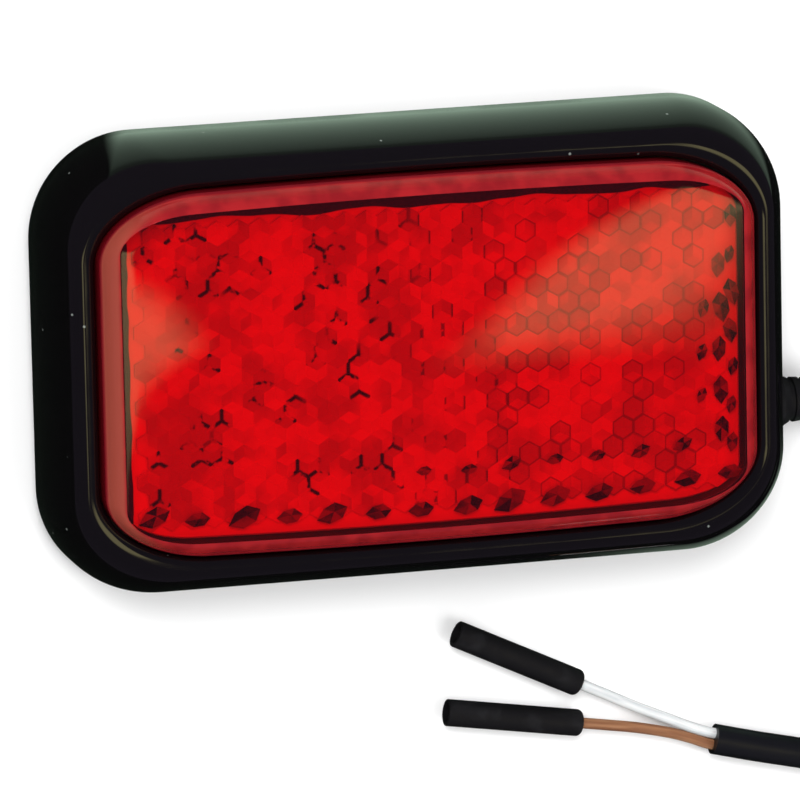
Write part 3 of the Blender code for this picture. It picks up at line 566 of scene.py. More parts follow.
def prism_red(name, shaded_border):
    """Red acrylic with moulded corner prisms: each facet its own red, with painted dark strokes where an edge
    turns light away.
    """
    made, tree, shader = new_material(name, "#CC0632", 0.28, ior=1.49, specular=0.1)
    where = node(tree, COORDS).outputs["Object"]
    place = node(tree, SPLIT, {0: where})
    x, y = place.outputs["X"], place.outputs["Y"]
    facet, cell, ridge, rim, flank = [
        node(tree, "ShaderNodeAttribute", attribute_name=kind).outputs["Fac"]
        for kind in ("facet", "cell", "ridge", "rim", "flank")
    ]
    cloud = node(tree, NOISE, {"Vector": where, "Scale": per(4.5), "Detail": 3.0})
    tone = node(tree, MATH, {0: facet, 1: 0.35}, operation="MULTIPLY")
    for part, share in ((cell, 0.40), (cloud, 1.35)):
        tone = node(tree, MATH, {0: part, 1: share, 2: tone}, operation="MULTIPLY_ADD")
    dull = soft_mask(tree, [(tone, 0.80, 1.30)])
    red = node(tree, MIX, {0: dull, 6: "#CC0632", 7: "#A41226"}, **RGBA)

    # Painted shade as broken dark strokes where prism edges turn light away: on the ridges at the left, the
    # flanks in the middle, and faint outlines at the right
    strokes = node(tree, NOISE, {"Vector": where, "Scale": per(1.0)})
    cluster = node(tree, NOISE, {"Vector": where, "Scale": per(7.0), "Detail": 1.0})
    chosen = node(tree, MATH, {0: cell, 1: cluster}, operation="ADD")
    masks = [
        soft_mask(tree, [
            (ridge, 0.70, 0.92), (strokes, 0.44, 0.54), (chosen, 1.22, 1.30), (x, 1.0 * MM, -4.0 * MM),
        ]),
        soft_mask(tree, [
            (flank, 0.74, 0.92), (strokes, 0.42, 0.50), (cell, 0.52, 0.60), (x, -3.0 * MM, -1.0 * MM),
            (x, 9.0 * MM, 6.0 * MM),
        ], 0.7),
        soft_mask(tree, [(rim, 0.80, 0.93), (cell, 0.55, 0.70), (x, 3.0 * MM, 6.0 * MM)], 0.5),
    ]
    if shaded_border:
        # Painted shade along the plate's left and top edges, under the lens's side wall, with a wavy border
        wave = node(tree, NOISE, {"Vector": where, "Scale": per(2.4), "Detail": 1.0})
        wave = node(tree, MATH, {0: wave, 1: 0.36 * MM}, operation="MULTIPLY")
        left = node(tree, MATH, {0: wave, 1: x}, operation="SUBTRACT")
        swell = node(tree, NOISE, {"Vector": where, "Scale": per(6.0), "Detail": 1.0})
        top = node(tree, MATH, {0: swell, 1: 1.5 * MM, 2: y}, operation="MULTIPLY_ADD")
        masks.append(soft_mask(tree, [(left, OPTIC_HIGH.x - 0.62 * MM, OPTIC_HIGH.x - 0.54 * MM)]))
        masks.append(soft_mask(tree, [(top, OPTIC_HIGH.y - 0.30 * MM, OPTIC_HIGH.y - 0.20 * MM)]))
    # All the painted dark strokes and edge shade together, drawn near-black below
    painted_edge_shade = masks[0]
    for mask in masks[1:]:
        painted_edge_shade = node(tree, MATH, {0: painted_edge_shade, 1: mask}, operation="MAXIMUM")
    feed(tree, shader, {"Base Color": node(tree, MIX, {0: painted_edge_shade, 6: red, 7: "#120306"}, **RGBA)})
    return made


def dark_prism_acrylic():
    """The same acrylic in the border prisms, with nothing bright behind: painted shade makes the facets
    maroon, some nearly black, lit more or less at random.
    """
    made, tree, shader = new_material("acrylic_maroon_prism", "#5A0E12", 0.2, ior=1.49, specular=0.1)
    facet = node(tree, "ShaderNodeAttribute", attribute_name="facet").outputs["Fac"]
    where = node(tree, COORDS).outputs["Object"]
    grain = node(tree, NOISE, {"Vector": where, "Scale": per(0.8)})
    tone = node(tree, MATH, {0: facet, 1: 0.7}, operation="MULTIPLY")
    tone = node(tree, MATH, {0: grain, 1: 0.6, 2: tone}, operation="MULTIPLY_ADD")
    lit = soft_mask(tree, [(tone, 0.35, 0.95)])
    # Near-black to maroon: painted shade on red acrylic, lighter on the facets picked at random
    shades = {0: lit, 6: "#080102", 7: "#7C101A"}
    feed(tree, shader, {"Base Color": node(tree, MIX, shades, **RGBA)})
    return made


def pvc_sheath():
    """Extruded polyvinyl chloride sheath: soft black with a low sheen and faint lines along its length."""
    made, tree, shader = new_material("pvc_black_extruded", "#15161A", 0.45, ior=1.53)
    coords = node(tree, COORDS)
    drawn = node(tree, "ShaderNodeMapping", {"Vector": coords.outputs["UV"], "Scale": (0.05, 14.0, 1.0)})
    lines = node(tree, NOISE, {"Vector": drawn, "Scale": 3.0, "Detail": 3.0})
    mottle = node(tree, NOISE, {"Vector": coords.outputs["Object"], "Scale": per(2.5), "Detail": 3.0})
    feed(tree, shader, {
        "Base Color": node(tree, MIX, {0: lines, 6: "#08090C", 7: "#0F1115"}, **RGBA),
        "Roughness": node(tree, RANGE, {0: mottle, 1: 0.3, 2: 0.7, 3: 0.36, 4: 0.52}, **SMOOTH),
        "Normal": node(tree, BUMP, {"Height": lines, "Strength": 0.35, "Distance": 0.03 * MM}),
    })
    return made


def pvc_core(name, code, streak):
    """Thin extruded insulation: smooth, slightly see-through, with a lengthwise streak."""
    made, tree, shader = new_material(name, code, 0.35, ior=1.53)
    coords = node(tree, COORDS)
    drawn = node(tree, "ShaderNodeMapping", {"Vector": coords.outputs["UV"], "Scale": (0.08, 3.0, 1.0)})
    lines = soft_mask(tree, [(node(tree, NOISE, {"Vector": drawn, "Scale": 2.0}), 0.35, 0.65)])
    feed(tree, shader, {
        "Base Color": node(tree, MIX, {0: lines, 6: code, 7: streak}, **RGBA),
        "Subsurface Weight": 0.25,
        "Subsurface Radius": (0.4 * MM, 0.3 * MM, 0.3 * MM),
        "Subsurface Scale": 1.0,
    })
    return made


def sleeve_vinyl():
    """Moulded soft vinyl sleeve: matt black, a little dusty, with a soft grain."""
    made, tree, shader = new_material("vinyl_matt_black_moulded", "#101011", 0.6)
    where = node(tree, COORDS).outputs["Object"]
    grain = node(tree, NOISE, {"Vector": where, "Scale": per(0.25), "Detail": 3.0})
    scuff = node(tree, NOISE, {"Vector": where, "Scale": per(1.6), "Detail": 3.0})
    dusty = soft_mask(tree, [(scuff, 0.5, 0.8)])
    feed(tree, shader, {
        "Base Color": node(tree, MIX, {0: dusty, 6: "#0F0F10", 7: "#1C1C1E"}, **RGBA),
        "Roughness": node(tree, RANGE, {0: scuff, 1: 0.3, 2: 0.7, 3: 0.5, 4: 0.7}, **SMOOTH),
        "Normal": node(tree, BUMP, {"Height": grain, "Strength": 0.5, "Distance": 0.03 * MM}),
    })
    return made


def foam_rubber():
    """Die-cut closed-cell foam rubber: dull dark grey with small open cells on the cut edge, darkest in each
    cell's pit as painted shade.
    """
    made, tree, shader = new_material("foam_rubber_die_cut", "#202023", 0.9)
    cells = node(tree, VORONOI, {"Vector": node(tree, COORDS).outputs["Object"], "Scale": per(0.28)})
    shaded_pit = soft_mask(tree, [(cells, 0.1, 0.6)])
    feed(tree, shader, {
        # Dark in the middle of each cell: painted shade in the pits.
        "Base Color": node(tree, MIX, {0: shaded_pit, 6: "#0E0E10", 7: "#2B2B2F"}, **RGBA),
        "Normal": node(tree, BUMP, {"Height": cells, "Strength": 0.8, "Distance": 0.08 * MM}),
    })
    return made


def solder_mask_board():
    """Fibreglass board under white solder mask: satin, with faint raised tracks."""
    made, tree, shader = new_material("fibreglass_white_solder_mask", "#DCDDD8", 0.4)
    tracks = node(tree, "ShaderNodeTexBrick", {
        "Vector": node(tree, COORDS).outputs["Object"], "Scale": per(3.2), "Mortar Size": 0.05,
        "Mortar Smooth": 0.3, "Mortar": "#C6CAC0", "Color1": "#DCDDD8",
        "Color2": "#E4E5E0",
    })
    raised = {"Height": tracks.outputs["Fac"], "Strength": 0.3, "Distance": 0.03 * MM}
    feed(tree, shader, {"Base Color": tracks.outputs["Color"], "Normal": node(tree, BUMP, raised)})
    return made


def led_package():
    """Moulded white LED package with a clear red die cup."""
    made, tree, shader = new_material("led_package_moulded", "#E6E2D6", 0.35)
    height = node(tree, SPLIT, {0: node(tree, COORDS).outputs["Object"]}).outputs["Z"]
    upward = node(tree, SPLIT, {0: node(tree, "ShaderNodeNewGeometry").outputs["Normal"]}).outputs["Z"]
    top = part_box("led_1")[1].z
    cup = soft_mask(tree, [(height, top - 0.05 * MM, top - 0.15 * MM), (upward, 0.2, 0.4)])
    shades = {0: cup, 6: "#E6E2D6", 7: "#C83A28"}
    feed(tree, shader, {"Base Color": node(tree, MIX, shades, **RGBA)})
    return made


def grained(name, colours, roughness, grain_mm, detail=2.0, relief=None, **settings):
    """A material with one grain for its roughness, its mix of colours and its relief of (strength, mm)."""
    made, tree, shader = new_material(name, colours[0], roughness[0], **settings)
    where = node(tree, COORDS).outputs["Object"]
    grain = node(tree, NOISE, {"Vector": where, "Scale": per(grain_mm), "Detail": detail})
    span = {0: grain, 1: 0.3, 2: 0.7, 3: roughness[0], 4: roughness[1]}
    feed(tree, shader, {"Roughness": node(tree, RANGE, span, **SMOOTH)})
    if len(colours) > 1:
        mixed = node(tree, MIX, {0: grain, 6: colours[0], 7: colours[1]}, **RGBA)
        feed(tree, shader, {"Base Color": mixed})
    if relief:
        raised = {"Height": grain, "Strength": relief[0], "Distance": relief[1] * MM}
        feed(tree, shader, {"Normal": node(tree, BUMP, raised)})
    return made


GLOSS_ABS = gloss_abs()
LENS_ACRYLIC = lens_acrylic()
RIM_ACRYLIC = rim_acrylic()
PRISM_ACRYLIC = prism_red("acrylic_red_prismatic", False)
# The plate's finish also carries the painted shade band along its left and top edges.
PLATE_ACRYLIC = prism_red("acrylic_red_plate_moulded", True)
DARK_PRISM = dark_prism_acrylic()
SHEATH_PVC = pvc_sheath()
WHITE_CORE = pvc_core("pvc_white_extruded", "#D6D8D8", "#BCC0C2")
BROWN_CORE = pvc_core("pvc_brown_extruded", "#7A5036", "#94694A")
SLEEVE_VINYL = sleeve_vinyl()
FOAM = foam_rubber()
BOARD = solder_mask_board()
LED_BODY = led_package()

# Grain under about 0.1 mm doesn't show from here: spark erosion and stipple are drawn at 0.12 to 0.16 mm.
# The bezel's plastic from a spark-eroded tool: matt black with a fine grain
TRAY_ABS = grained("abs_matt_black_moulded", ["#131314"], (0.42, 0.62), 0.16, relief=(0.4, 0.02), ior=1.54)
# Pressed brass receptacle with a tin flash: pale warm metal with fine draw marks
BRASS = grained("brass_tinned_pressed", ["#B89E68", "#D8CDB0"], (0.22, 0.42), 0.3, 4.0, metallic=1.0)
# Tin and copper solder, reflowed: bright, slightly rippled silver
SOLDER = grained("solder_reflowed", ["#C8C8C4"], (0.18, 0.38), 0.12, relief=(0.4, 0.02), metallic=1.0)
# Moulded nylon strap: satin black
NYLON = grained("nylon_black_moulded", ["#161617"], (0.34, 0.52), 0.4, 3.0, (0.3, 0.02), ior=1.53)
# Transfer-moulded chip bodies: dull, with a fine stippled face
CHIP_EPOXY = grained("epoxy_black_moulded", ["#161618"], (0.42, 0.60), 0.12, relief=(0.4, 0.015))
# Tantalum capacitor's moulded case: warm ochre, a little smoother
TANTALUM = grained("epoxy_ochre_moulded", ["#C79A34"], (0.37, 0.55), 0.12, relief=(0.4, 0.015))
# Epoxy poured and left to level: black and nearly glossy
POTTING = grained("epoxy_potting_cast", ["#18181B"], (0.12, 0.30), 0.12, relief=(0.4, 0.015))

CHIPS = (
    "series_resistor_1", "series_resistor_2", "bridge_rectifier", "surge_suppressor", "current_regulator",
)
CAD_FINISHES = {
    "lamp_housing": TRAY_ABS, "circuit_board": BOARD, "smoothing_capacitor": TANTALUM,
    "cable_potting": POTTING, "inner_sheath": SHEATH_PVC, "inner_white_core": WHITE_CORE,
    "inner_brown_core": BROWN_CORE, "white_solder_joint": SOLDER, "brown_solder_joint": SOLDER,
    "white_contact": BRASS, "brown_contact": BRASS,
    **{f"led_{number}": LED_BODY for number in range(1, 7)}, **{name: CHIP_EPOXY for name in CHIPS},
}
for name, finish in CAD_FINISHES.items():
    data = frame["nodes"][name].data
    data.materials.clear()
    data.materials.append(finish)


# ---------------------------------------------------------------- lofted pieces on the lamp's outline

CORNER_POINTS = 30
LONG_POINTS = 24
SHORT_POINTS = 12
CORNER_SHRINK = 1.8
SMALLEST_CORNER = 1.0 * MM
SHOULDER_STEPS = 28
LIP_STEPS = 10
DOME_RINGS = 22
DOME_HOLE = 0.02
RIM_STEPS = 10
RIM_POWER = 0.85


def arc(centre, radii, start, end, steps):
    """Points of an oval arc between two angles in degrees."""
    angles = [math.radians(start + (end - start) * step / steps) for step in range(steps + 1)]
    return [(centre[0] + radii[0] * math.cos(a), centre[1] + radii[1] * math.sin(a)) for a in angles]


def face_outline(inset):
    """Anticlockwise outline at an inset: round corners outside, oval ones and bowed edges at the opening."""
    share = min(inset / OPENING_INSET, 1.0)
    beyond = max(inset - OPENING_INSET, 0.0)
    radius_x, radius_y = [
        max(OUTER_CORNER + (opening - OUTER_CORNER) * share - beyond * CORNER_SHRINK, SMALLEST_CORNER)
        for opening in OPENING_CORNER
    ]
    half_x, half_y = HALF_X - inset, HALF_Y - inset
    corners = []
    for index, (sign_x, sign_y) in enumerate([(1, 1), (-1, 1), (-1, -1), (1, -1)]):
        middle = (sign_x * (half_x - radius_x), sign_y * (half_y - radius_y))
        corners.append(arc(middle, (radius_x, radius_y), 90 * index, 90 * index + 90, CORNER_POINTS))
    points = []
    for index, corner in enumerate(corners):
        points += corner
        start, end = corner[-1], corners[(index + 1) % 4][0]
        count = LONG_POINTS if index % 2 == 0 else SHORT_POINTS
        for step in range(1, count):
            t = step / count
            points.append((start[0] + (end[0] - start[0]) * t, start[1] + (end[1] - start[1]) * t))
    return [(x, y - y / half_y * EDGE_BOW * share * (x / half_x) ** 2) for x, y in points]


def loft(name, rings, sharp=35):
    """A closed skin through rings of (x, y, z) points, from the downward cap to the upward one."""
    work = bmesh.new()
    levels = [[work.verts.new(point) for point in ring] for ring in rings]
    work.faces.new(list(reversed(levels[0])))
    for low, high in zip(levels, levels[1:]):
        skin(work, low, high)
    work.faces.new(levels[-1])
    return mesh_of(name, work, sharp)


def flat_ring(inset, height):
    """The outline at an inset, as a ring at one height."""
    return [(x, y, height) for x, y in face_outline(inset)]


def bezel_rings():
    """Foot, straight side, long round shoulder, crest, lip and inner wall."""
    foot = BEZEL_LOW.z
    crest = BEZEL_HIGH.z
    straight_top = foot + STRAIGHT_SIDE
    shoulder = (SHOULDER_WIDTH, crest - straight_top)
    broken = FOOT_EDGE * 0.3
    profile = [(FOOT_EDGE, foot), (broken, foot + broken), (0.0, foot + FOOT_EDGE)]
    profile += arc((SHOULDER_WIDTH, straight_top), shoulder, 180, 90, SHOULDER_STEPS)
    profile += arc((OPENING_INSET - LIP_WIDTH, crest - LIP_DROP), (LIP_WIDTH, LIP_DROP), 90, 0, LIP_STEPS)[1:]
    floor_top = foot + FLOOR_THICKNESS
    profile += [(OPENING_INSET, floor_top + 2 * MM), (OPENING_INSET, floor_top)]
    return [flat_ring(inset, height) for inset, height in profile]


def add_block(work, low, high):
    """Add a box between two corners and return its vertices."""
    low, high = Vector(low), Vector(high)
    place = Matrix.Translation((low + high) / 2) @ Matrix.Diagonal((*(high - low), 1.0))
    return bmesh.ops.create_cube(work, size=1.0, matrix=place)["verts"]


def block_mesh(low, high):
    """A box between two corners, used as a cutter."""
    work = bmesh.new()
    add_block(work, low, high)
    return mesh_of("block_cutter", work)


def rod_mesh(start, axis, near, far, length, sides=48):
    """A round or tapered rod along an axis, used as a cutter."""
    work = bmesh.new()
    turn = Vector(axis).to_track_quat("Z", "Y").to_matrix().to_4x4()
    place = Matrix.Translation(Vector(start) + Vector(axis) * length / 2) @ turn
    size = {"segments": sides, "radius1": near, "radius2": far, "depth": length}
    bmesh.ops.create_cone(work, cap_ends=True, matrix=place, **size)
    return mesh_of("rod_cutter", work)


def cut(mesh, cutters, sharp=35):
    """The mesh with every cutter taken out of it."""
    body = linked("cut_body", mesh)
    tools = [linked("cut_tool", cutter) for cutter in cutters]
    for tool in tools:
        body.modifiers.new("Cut", "BOOLEAN").object = tool
    graph = bpy.context.evaluated_depsgraph_get()
    made = bpy.data.meshes.new_from_object(body.evaluated_get(graph), depsgraph=graph)
    for item in [body] + tools:
        bpy.data.objects.remove(item)
    made.shade_smooth()
    made.set_sharp_from_angle(angle=math.radians(sharp))
    return made


def bezel_cutters():
    """Fixing holes with countersinks, the channel under the module and the arched slot for the lead."""
    floor_top = BEZEL_LOW.z + FLOOR_THICKNESS
    inner_x = HALF_X - OPENING_INSET
    sink = SINK_RADIUS - HOLE_RADIUS
    up = (0, 0, 1)
    made = []
    for x in (-HOLE_SPACING / 2, HOLE_SPACING / 2):
        made.append(rod_mesh((x, 0.0, 0.0), up, HOLE_RADIUS, HOLE_RADIUS, 2 * floor_top))
        made.append(rod_mesh((x, 0.0, floor_top - sink), up, HOLE_RADIUS, SINK_RADIUS + SLACK, sink + SLACK))
    half = SHEATH_RADIUS + CHANNEL_GAP
    channel_end = (inner_x + SLACK, EXIT.y + half, floor_top + CHANNEL_HEAD)
    made.append(block_mesh((CHANNEL_START, EXIT.y - half, 0.0), channel_end))
    start = inner_x - SLACK
    slot_end = (HALF_X + MM, EXIT.y + SLOT_RADIUS, EXIT.z)
    made.append(block_mesh((start, EXIT.y - SLOT_RADIUS, 0.0), slot_end))
    reach = OPENING_INSET + 2 * MM
    made.append(rod_mesh((start, EXIT.y, EXIT.z), (1, 0, 0), SLOT_RADIUS, SLOT_RADIUS, reach))
    return made


def gasket_cutters():
    """Holes under the fixing screws and the notch for the lead."""
    holes = [
        rod_mesh((x, 0.0, -MM), (0, 0, 1), HOLE_RADIUS, HOLE_RADIUS, 4 * MM)
        for x in (-HOLE_SPACING / 2, HOLE_SPACING / 2)
    ]
    notch_low = (HALF_X - OPENING_INSET - SLACK, EXIT.y - SLOT_RADIUS, -MM)
    return holes + [block_mesh(notch_low, (HALF_X + MM, EXIT.y + SLOT_RADIUS, GASKET_HIGH.z + MM))]


def lens_rings():
    """Underside from the middle out, rim, straight side, round shoulder and domed face back to the middle."""
    shoulder_inset = LENS_INSET + LENS_SHOULDER
    top = LENS_HIGH.z - LENS_CROWN
    shoulder_z = top - LENS_SHOULDER
    inner_round = LENS_SHOULDER - LENS_WALL
    edge = face_outline(shoulder_inset)
    half_x = max(x for x, _ in edge)
    half_y = max(y for _, y in edge)
    shares = [DOME_HOLE + (1 - DOME_HOLE) * step / DOME_RINGS for step in range(DOME_RINGS + 1)]

    def crown(x, y):
        """Height over the edge of the dome."""
        power_x, power_y = CROWN_POWERS
        return LENS_CROWN * (1 - abs(x / half_x) ** power_x) * (1 - abs(y / half_y) ** power_y)

    def domed(base):
        """Rings from the middle out."""
        return [[(x * s, y * s, base + crown(x * s, y * s)) for x, y in edge] for s in shares]

    rings = domed(top - LENS_WALL)
    inner_arc = arc((shoulder_inset, shoulder_z), (inner_round, inner_round), 96, 180, 5)
    rings += [flat_ring(i, z) for i, z in inner_arc[1:]]
    rings += [flat_ring(LENS_INSET + LENS_WALL, LENS_LOW.z), flat_ring(LENS_INSET, LENS_LOW.z)]
    first_rim = len(rings) - 2
    edge_arc = arc((LENS_INSET + RIM_EDGE, RIM_EDGE_Z - RIM_EDGE), (RIM_EDGE, RIM_EDGE), 180, 112, 6)
    rings += [flat_ring(i, z) for i, z in edge_arc]
    start_inset, start_z = edge_arc[-1]
    for step in range(1, RIM_STEPS):
        t = step / RIM_STEPS
        height = start_z + (top - start_z) * math.sin(math.pi / 2 * t) ** RIM_POWER
        rings.append(flat_ring(start_inset + (shoulder_inset - start_inset) * t, height))
    last_rim = len(rings) - 2
    rings += list(reversed(domed(top)))
    return rings, first_rim, last_rim


bezel = cut(loft("bezel", bezel_rings()), bezel_cutters())
piece("bezel", bezel, "mounting_frame", GLOSS_ABS, ("mounting_bezel",))
gasket = loft("foam_gasket", [flat_ring(GASKET_INSET, GASKET_LOW.z), flat_ring(GASKET_INSET, GASKET_HIGH.z)])
piece("foam_gasket", cut(gasket, gasket_cutters()), "mounting_frame", FOAM, ("base_gasket",))
lens_skin, first_rim, last_rim = lens_rings()
lens_mesh = loft("lens_cover", lens_skin, 50)
piece("lens_cover", lens_mesh, "lamp_module", (LENS_ACRYLIC, RIM_ACRYLIC), ("outer_lens",))
for face in lens_mesh.polygons:
    band = (face.index - 1) // len(lens_skin[0])
    face.material_index = int(face.index > 0 and first_rim <= band <= last_rim)


# ---------------------------------------------------------------- prism plate

CELL_PITCH = 1.65 * MM
CELL_RELIEF = 0.07 * MM
CELL_LIFT = 0.12 * MM
FIELD_MARGIN = 1.35 * MM
FIELD_COLUMNS, FIELD_ROWS = 36, 24
FIELD_SEED = 5
PLATE_DROP = 0.35 * MM
PLATE_EDGE = 0.15 * MM
SKIRT_WALL = 0.8 * MM
SKIRT_DROP = 1.1 * MM

# Border prisms: outline and tip in millimetres, then rows of start, end, count, bow, turn, size and seed
BORDER_OUTLINE = ((1.02, 0.10), (0.35, 0.60), (-0.45, 0.42), (-1.05, -0.12), (-0.30, -0.58), (0.55, -0.46))
BORDER_TIP = (0.12, 0.08, 0.10)
BORDER_Z = OPTIC_HIGH.z + 0.14 * MM
BORDER_SHIFT = (0.12 * MM, 0.10 * MM, 0.0)
BORDER_SWAY = (-0.25, 0.25)
BORDER_SWELL = (0.72, 1.12)
BORDER_ROWS = {
    "border_prisms_bottom": ((-22.0, -11.45), (23.3, -11.45), 14, 1.0, 0.15, 1.25, 4),
    "border_prisms_second": ((-0.8, -8.60), (19.6, -8.60), 7, 0.7, 0.10, 0.75, 8),
    "border_prisms_inner": ((22.6, 5.6), (22.6, -7.2), 5, 0.0, 1.35, 1.05, 5),
    "border_prisms_outer": ((23.5, 9.4), (23.5, -8.2), 7, 0.0, 1.45, 0.95, 9),
    "border_prisms_third": ((21.2, 2.3), (21.2, -4.3), 3, 0.0, 1.1, 0.75, 6),
}


def cell_object():
    """One corner prism: three rhombic facets that dip to the middle, on a short hexagonal block."""
    radius = CELL_PITCH / math.sqrt(3)
    work = bmesh.new()
    layers = work.verts.layers.float
    ridge_layer, rim_layer, flank_layer = [layers.new(kind) for kind in ("ridge", "rim", "flank")]
    middle = work.verts.new((0, 0, 0))
    middle[ridge_layer] = 1.0
    top, low = [], []
    for index in range(6):
        angle = math.radians(30 + 60 * index)
        rise = CELL_RELIEF * (2 if index % 2 == 0 else 1)
        corner = work.verts.new((radius * math.cos(angle), radius * math.sin(angle), rise))
        corner[ridge_layer] = float(index % 2)
        corner[rim_layer] = 1.0
        corner[flank_layer] = 0.0 if index in (1, 4) else 1.0
        top.append(corner)
        low.append(work.verts.new((corner.co.x, corner.co.y, -PLATE_DROP)))
    for index in (0, 2, 4):
        work.faces.new((middle, top[index - 1], top[index], top[index + 1]))
    skin(work, low, top)
    work.faces.new(list(reversed(low)))
    bmesh.ops.recalc_face_normals(work, faces=work.faces)
    return bpy.data.objects.new("prism_cell", mesh_of("prism_cell", work))


def border_prism():
    """One border prism: a low irregular rhombic pyramid, longer along X."""
    work = bmesh.new()
    tip = work.verts.new(Vector(BORDER_TIP) * MM)
    ring = [work.verts.new((x * MM, y * MM, 0.0)) for x, y in BORDER_OUTLINE]
    for index, corner in enumerate(ring):
        work.faces.new((corner, ring[(index + 1) % len(ring)], tip))
    work.faces.new(list(reversed(ring)))
    bmesh.ops.recalc_face_normals(work, faces=work.faces)
    return bpy.data.objects.new("border_prism", mesh_of("border_prism", work))


def new_geometry_tree(name, inputs):
    """A geometry tree with named inputs, and each input's identifier under its name."""
    tree = bpy.data.node_groups.new(name, "GeometryNodeTree")
    ids = {
        title: tree.interface.new_socket(title, in_out="INPUT", socket_type="NodeSocket" + kind).identifier
        for title, kind in inputs.items()
    }
    tree.interface.new_socket("Geometry", in_out="OUTPUT", socket_type="NodeSocketGeometry")
    return tree, ids


def run_tree(name, tree, ids, settings):
    """Evaluate a geometry tree on an empty mesh and return the plain mesh it makes."""
    holder = linked(name, bpy.data.meshes.new(name + "_start"))
    modifier = holder.modifiers.new("Build", "NODES")
    modifier.node_group = tree
    for title, value in settings.items():
        modifier[ids[title]] = value
    graph = bpy.context.evaluated_depsgraph_get()
    mesh = bpy.data.meshes.new_from_object(holder.evaluated_get(graph), depsgraph=graph)
    bpy.data.objects.remove(holder)
    mesh.name = name
    return mesh


def finish_tree(tree, instances, seed, finish):
    """Make instances real, give every facet its own random shade and the finish, and send them out."""
    real = node(tree, "GeometryNodeRealizeInstances", {"Geometry": instances})
    shade = node(tree, "FunctionNodeRandomValue", {"Seed": seed})
    toned = node(tree, "GeometryNodeStoreNamedAttribute", {
        "Geometry": real, "Name": "facet", "Value": shade,
    }, domain="FACE")
    done = node(tree, "GeometryNodeSetMaterial", {"Geometry": toned, "Material": finish})
    node(tree, "NodeGroupOutput", {"Geometry": done})


def field_tree():
    """Hexagonal field of cells inside a rectangle, each with its own random shade."""
    tree, ids = new_geometry_tree("prism_field", {
        "Cell": "Object", "Pitch": "Float", "Half length": "Float", "Half width": "Float", "Height": "Float",
        "Finish": "Material", "Seed": "Int",
    })
    given = node(tree, "NodeGroupInput").outputs
    row_step = node(tree, MATH, {0: given["Pitch"], 1: math.sqrt(3) / 2}, operation="MULTIPLY")
    grid = node(tree, "GeometryNodeMeshGrid", {
        "Size X": node(tree, MATH, {0: given["Pitch"], 1: FIELD_COLUMNS - 1}, operation="MULTIPLY"),
        "Size Y": node(tree, MATH, {0: row_step, 1: FIELD_ROWS - 1}, operation="MULTIPLY"),
        "Vertices X": FIELD_COLUMNS, "Vertices Y": FIELD_ROWS,
    })
    # Every other row moves half a pitch; a column holds an even number of rows, so odd points are in odd rows
    odd = node(tree, MATH, {0: node(tree, "GeometryNodeInputIndex"), 1: 2.0}, operation="MODULO")
    shift = node(tree, MATH, {0: odd, 1: given["Pitch"]}, operation="MULTIPLY")
    shift = node(tree, MATH, {0: shift, 1: 0.5}, operation="MULTIPLY")
    offset = node(tree, JOIN, {"X": shift, "Z": given["Height"]})
    moved = node(tree, "GeometryNodeSetPosition", {"Geometry": grid, "Offset": offset})
    place = node(tree, SPLIT, {0: node(tree, "GeometryNodeInputPosition")})
    beyond = []
    for part, limit in ((0, "Half length"), (1, "Half width")):
        far = node(tree, MATH, {0: place.outputs[part]}, operation="ABSOLUTE")
        beyond.append(node(tree, MATH, {0: far, 1: given[limit]}, operation="GREATER_THAN"))
    outside = node(tree, MATH, {0: beyond[0], 1: beyond[1]}, operation="MAXIMUM")
    kept = node(tree, "GeometryNodeDeleteGeometry", {"Geometry": moved, "Selection": outside})
    source = node(tree, "GeometryNodeObjectInfo", {"Object": given["Cell"]}).outputs["Geometry"]
    cells = node(tree, "GeometryNodeInstanceOnPoints", {"Points": kept, "Instance": source})
    shade = node(tree, "FunctionNodeRandomValue", {"Seed": given["Seed"]})
    named = node(tree, "GeometryNodeStoreNamedAttribute", {
        "Geometry": cells, "Name": "cell", "Value": shade,
    }, domain="INSTANCE")
    other_seed = node(tree, MATH, {0: given["Seed"], 1: 7.0}, operation="ADD")
    finish_tree(tree, named, other_seed, given["Finish"])
    return tree, ids


def border_tree():
    """A bowed row of prisms between two points, each turned and sized a little differently."""
    tree, ids = new_geometry_tree("border_prisms", {
        "Prism": "Object", "Start": "Vector", "End": "Vector", "Count": "Int", "Bow": "Float",
        "Turn": "Float", "Size": "Float", "Finish": "Material", "Seed": "Int",
    })
    given = node(tree, "NodeGroupInput").outputs
    line = node(tree, "GeometryNodeMeshLine", {
        "Count": given["Count"], "Start Location": given["Start"], "Offset": given["End"],
    }, mode="END_POINTS")
    place = node(tree, SPLIT, {0: node(tree, "GeometryNodeInputPosition")})
    share = node(tree, MATH, {0: place.outputs[0], 1: OPTIC_HIGH.x}, operation="DIVIDE")
    squared = node(tree, MATH, {0: share, 1: share}, operation="MULTIPLY")
    rise = node(tree, MATH, {0: squared, 1: given["Bow"]}, operation="MULTIPLY")
    jitter = node(tree, "FunctionNodeRandomValue", {
        "Min": [-reach for reach in BORDER_SHIFT], "Max": BORDER_SHIFT, "Seed": given["Seed"],
    }, data_type="FLOAT_VECTOR")
    bowed = node(tree, JOIN, {"Y": rise})
    offset = node(tree, "ShaderNodeVectorMath", {0: bowed, 1: jitter}, operation="ADD")
    moved = node(tree, "GeometryNodeSetPosition", {"Geometry": line, "Offset": offset})
    sway, swell = [
        node(tree, "FunctionNodeRandomValue", {2: least, 3: most, "Seed": given["Seed"]})
        for least, most in (BORDER_SWAY, BORDER_SWELL)
    ]
    angle = node(tree, MATH, {0: sway, 1: given["Turn"]}, operation="ADD")
    prisms = node(tree, "GeometryNodeInstanceOnPoints", {
        "Points": moved,
        "Instance": node(tree, "GeometryNodeObjectInfo", {"Object": given["Prism"]}).outputs["Geometry"],
        "Rotation": node(tree, JOIN, {"Z": angle}),
        "Scale": node(tree, MATH, {0: swell, 1: given["Size"]}, operation="MULTIPLY"),
    })
    finish_tree(tree, prisms, given["Seed"], given["Finish"])
    return tree, ids


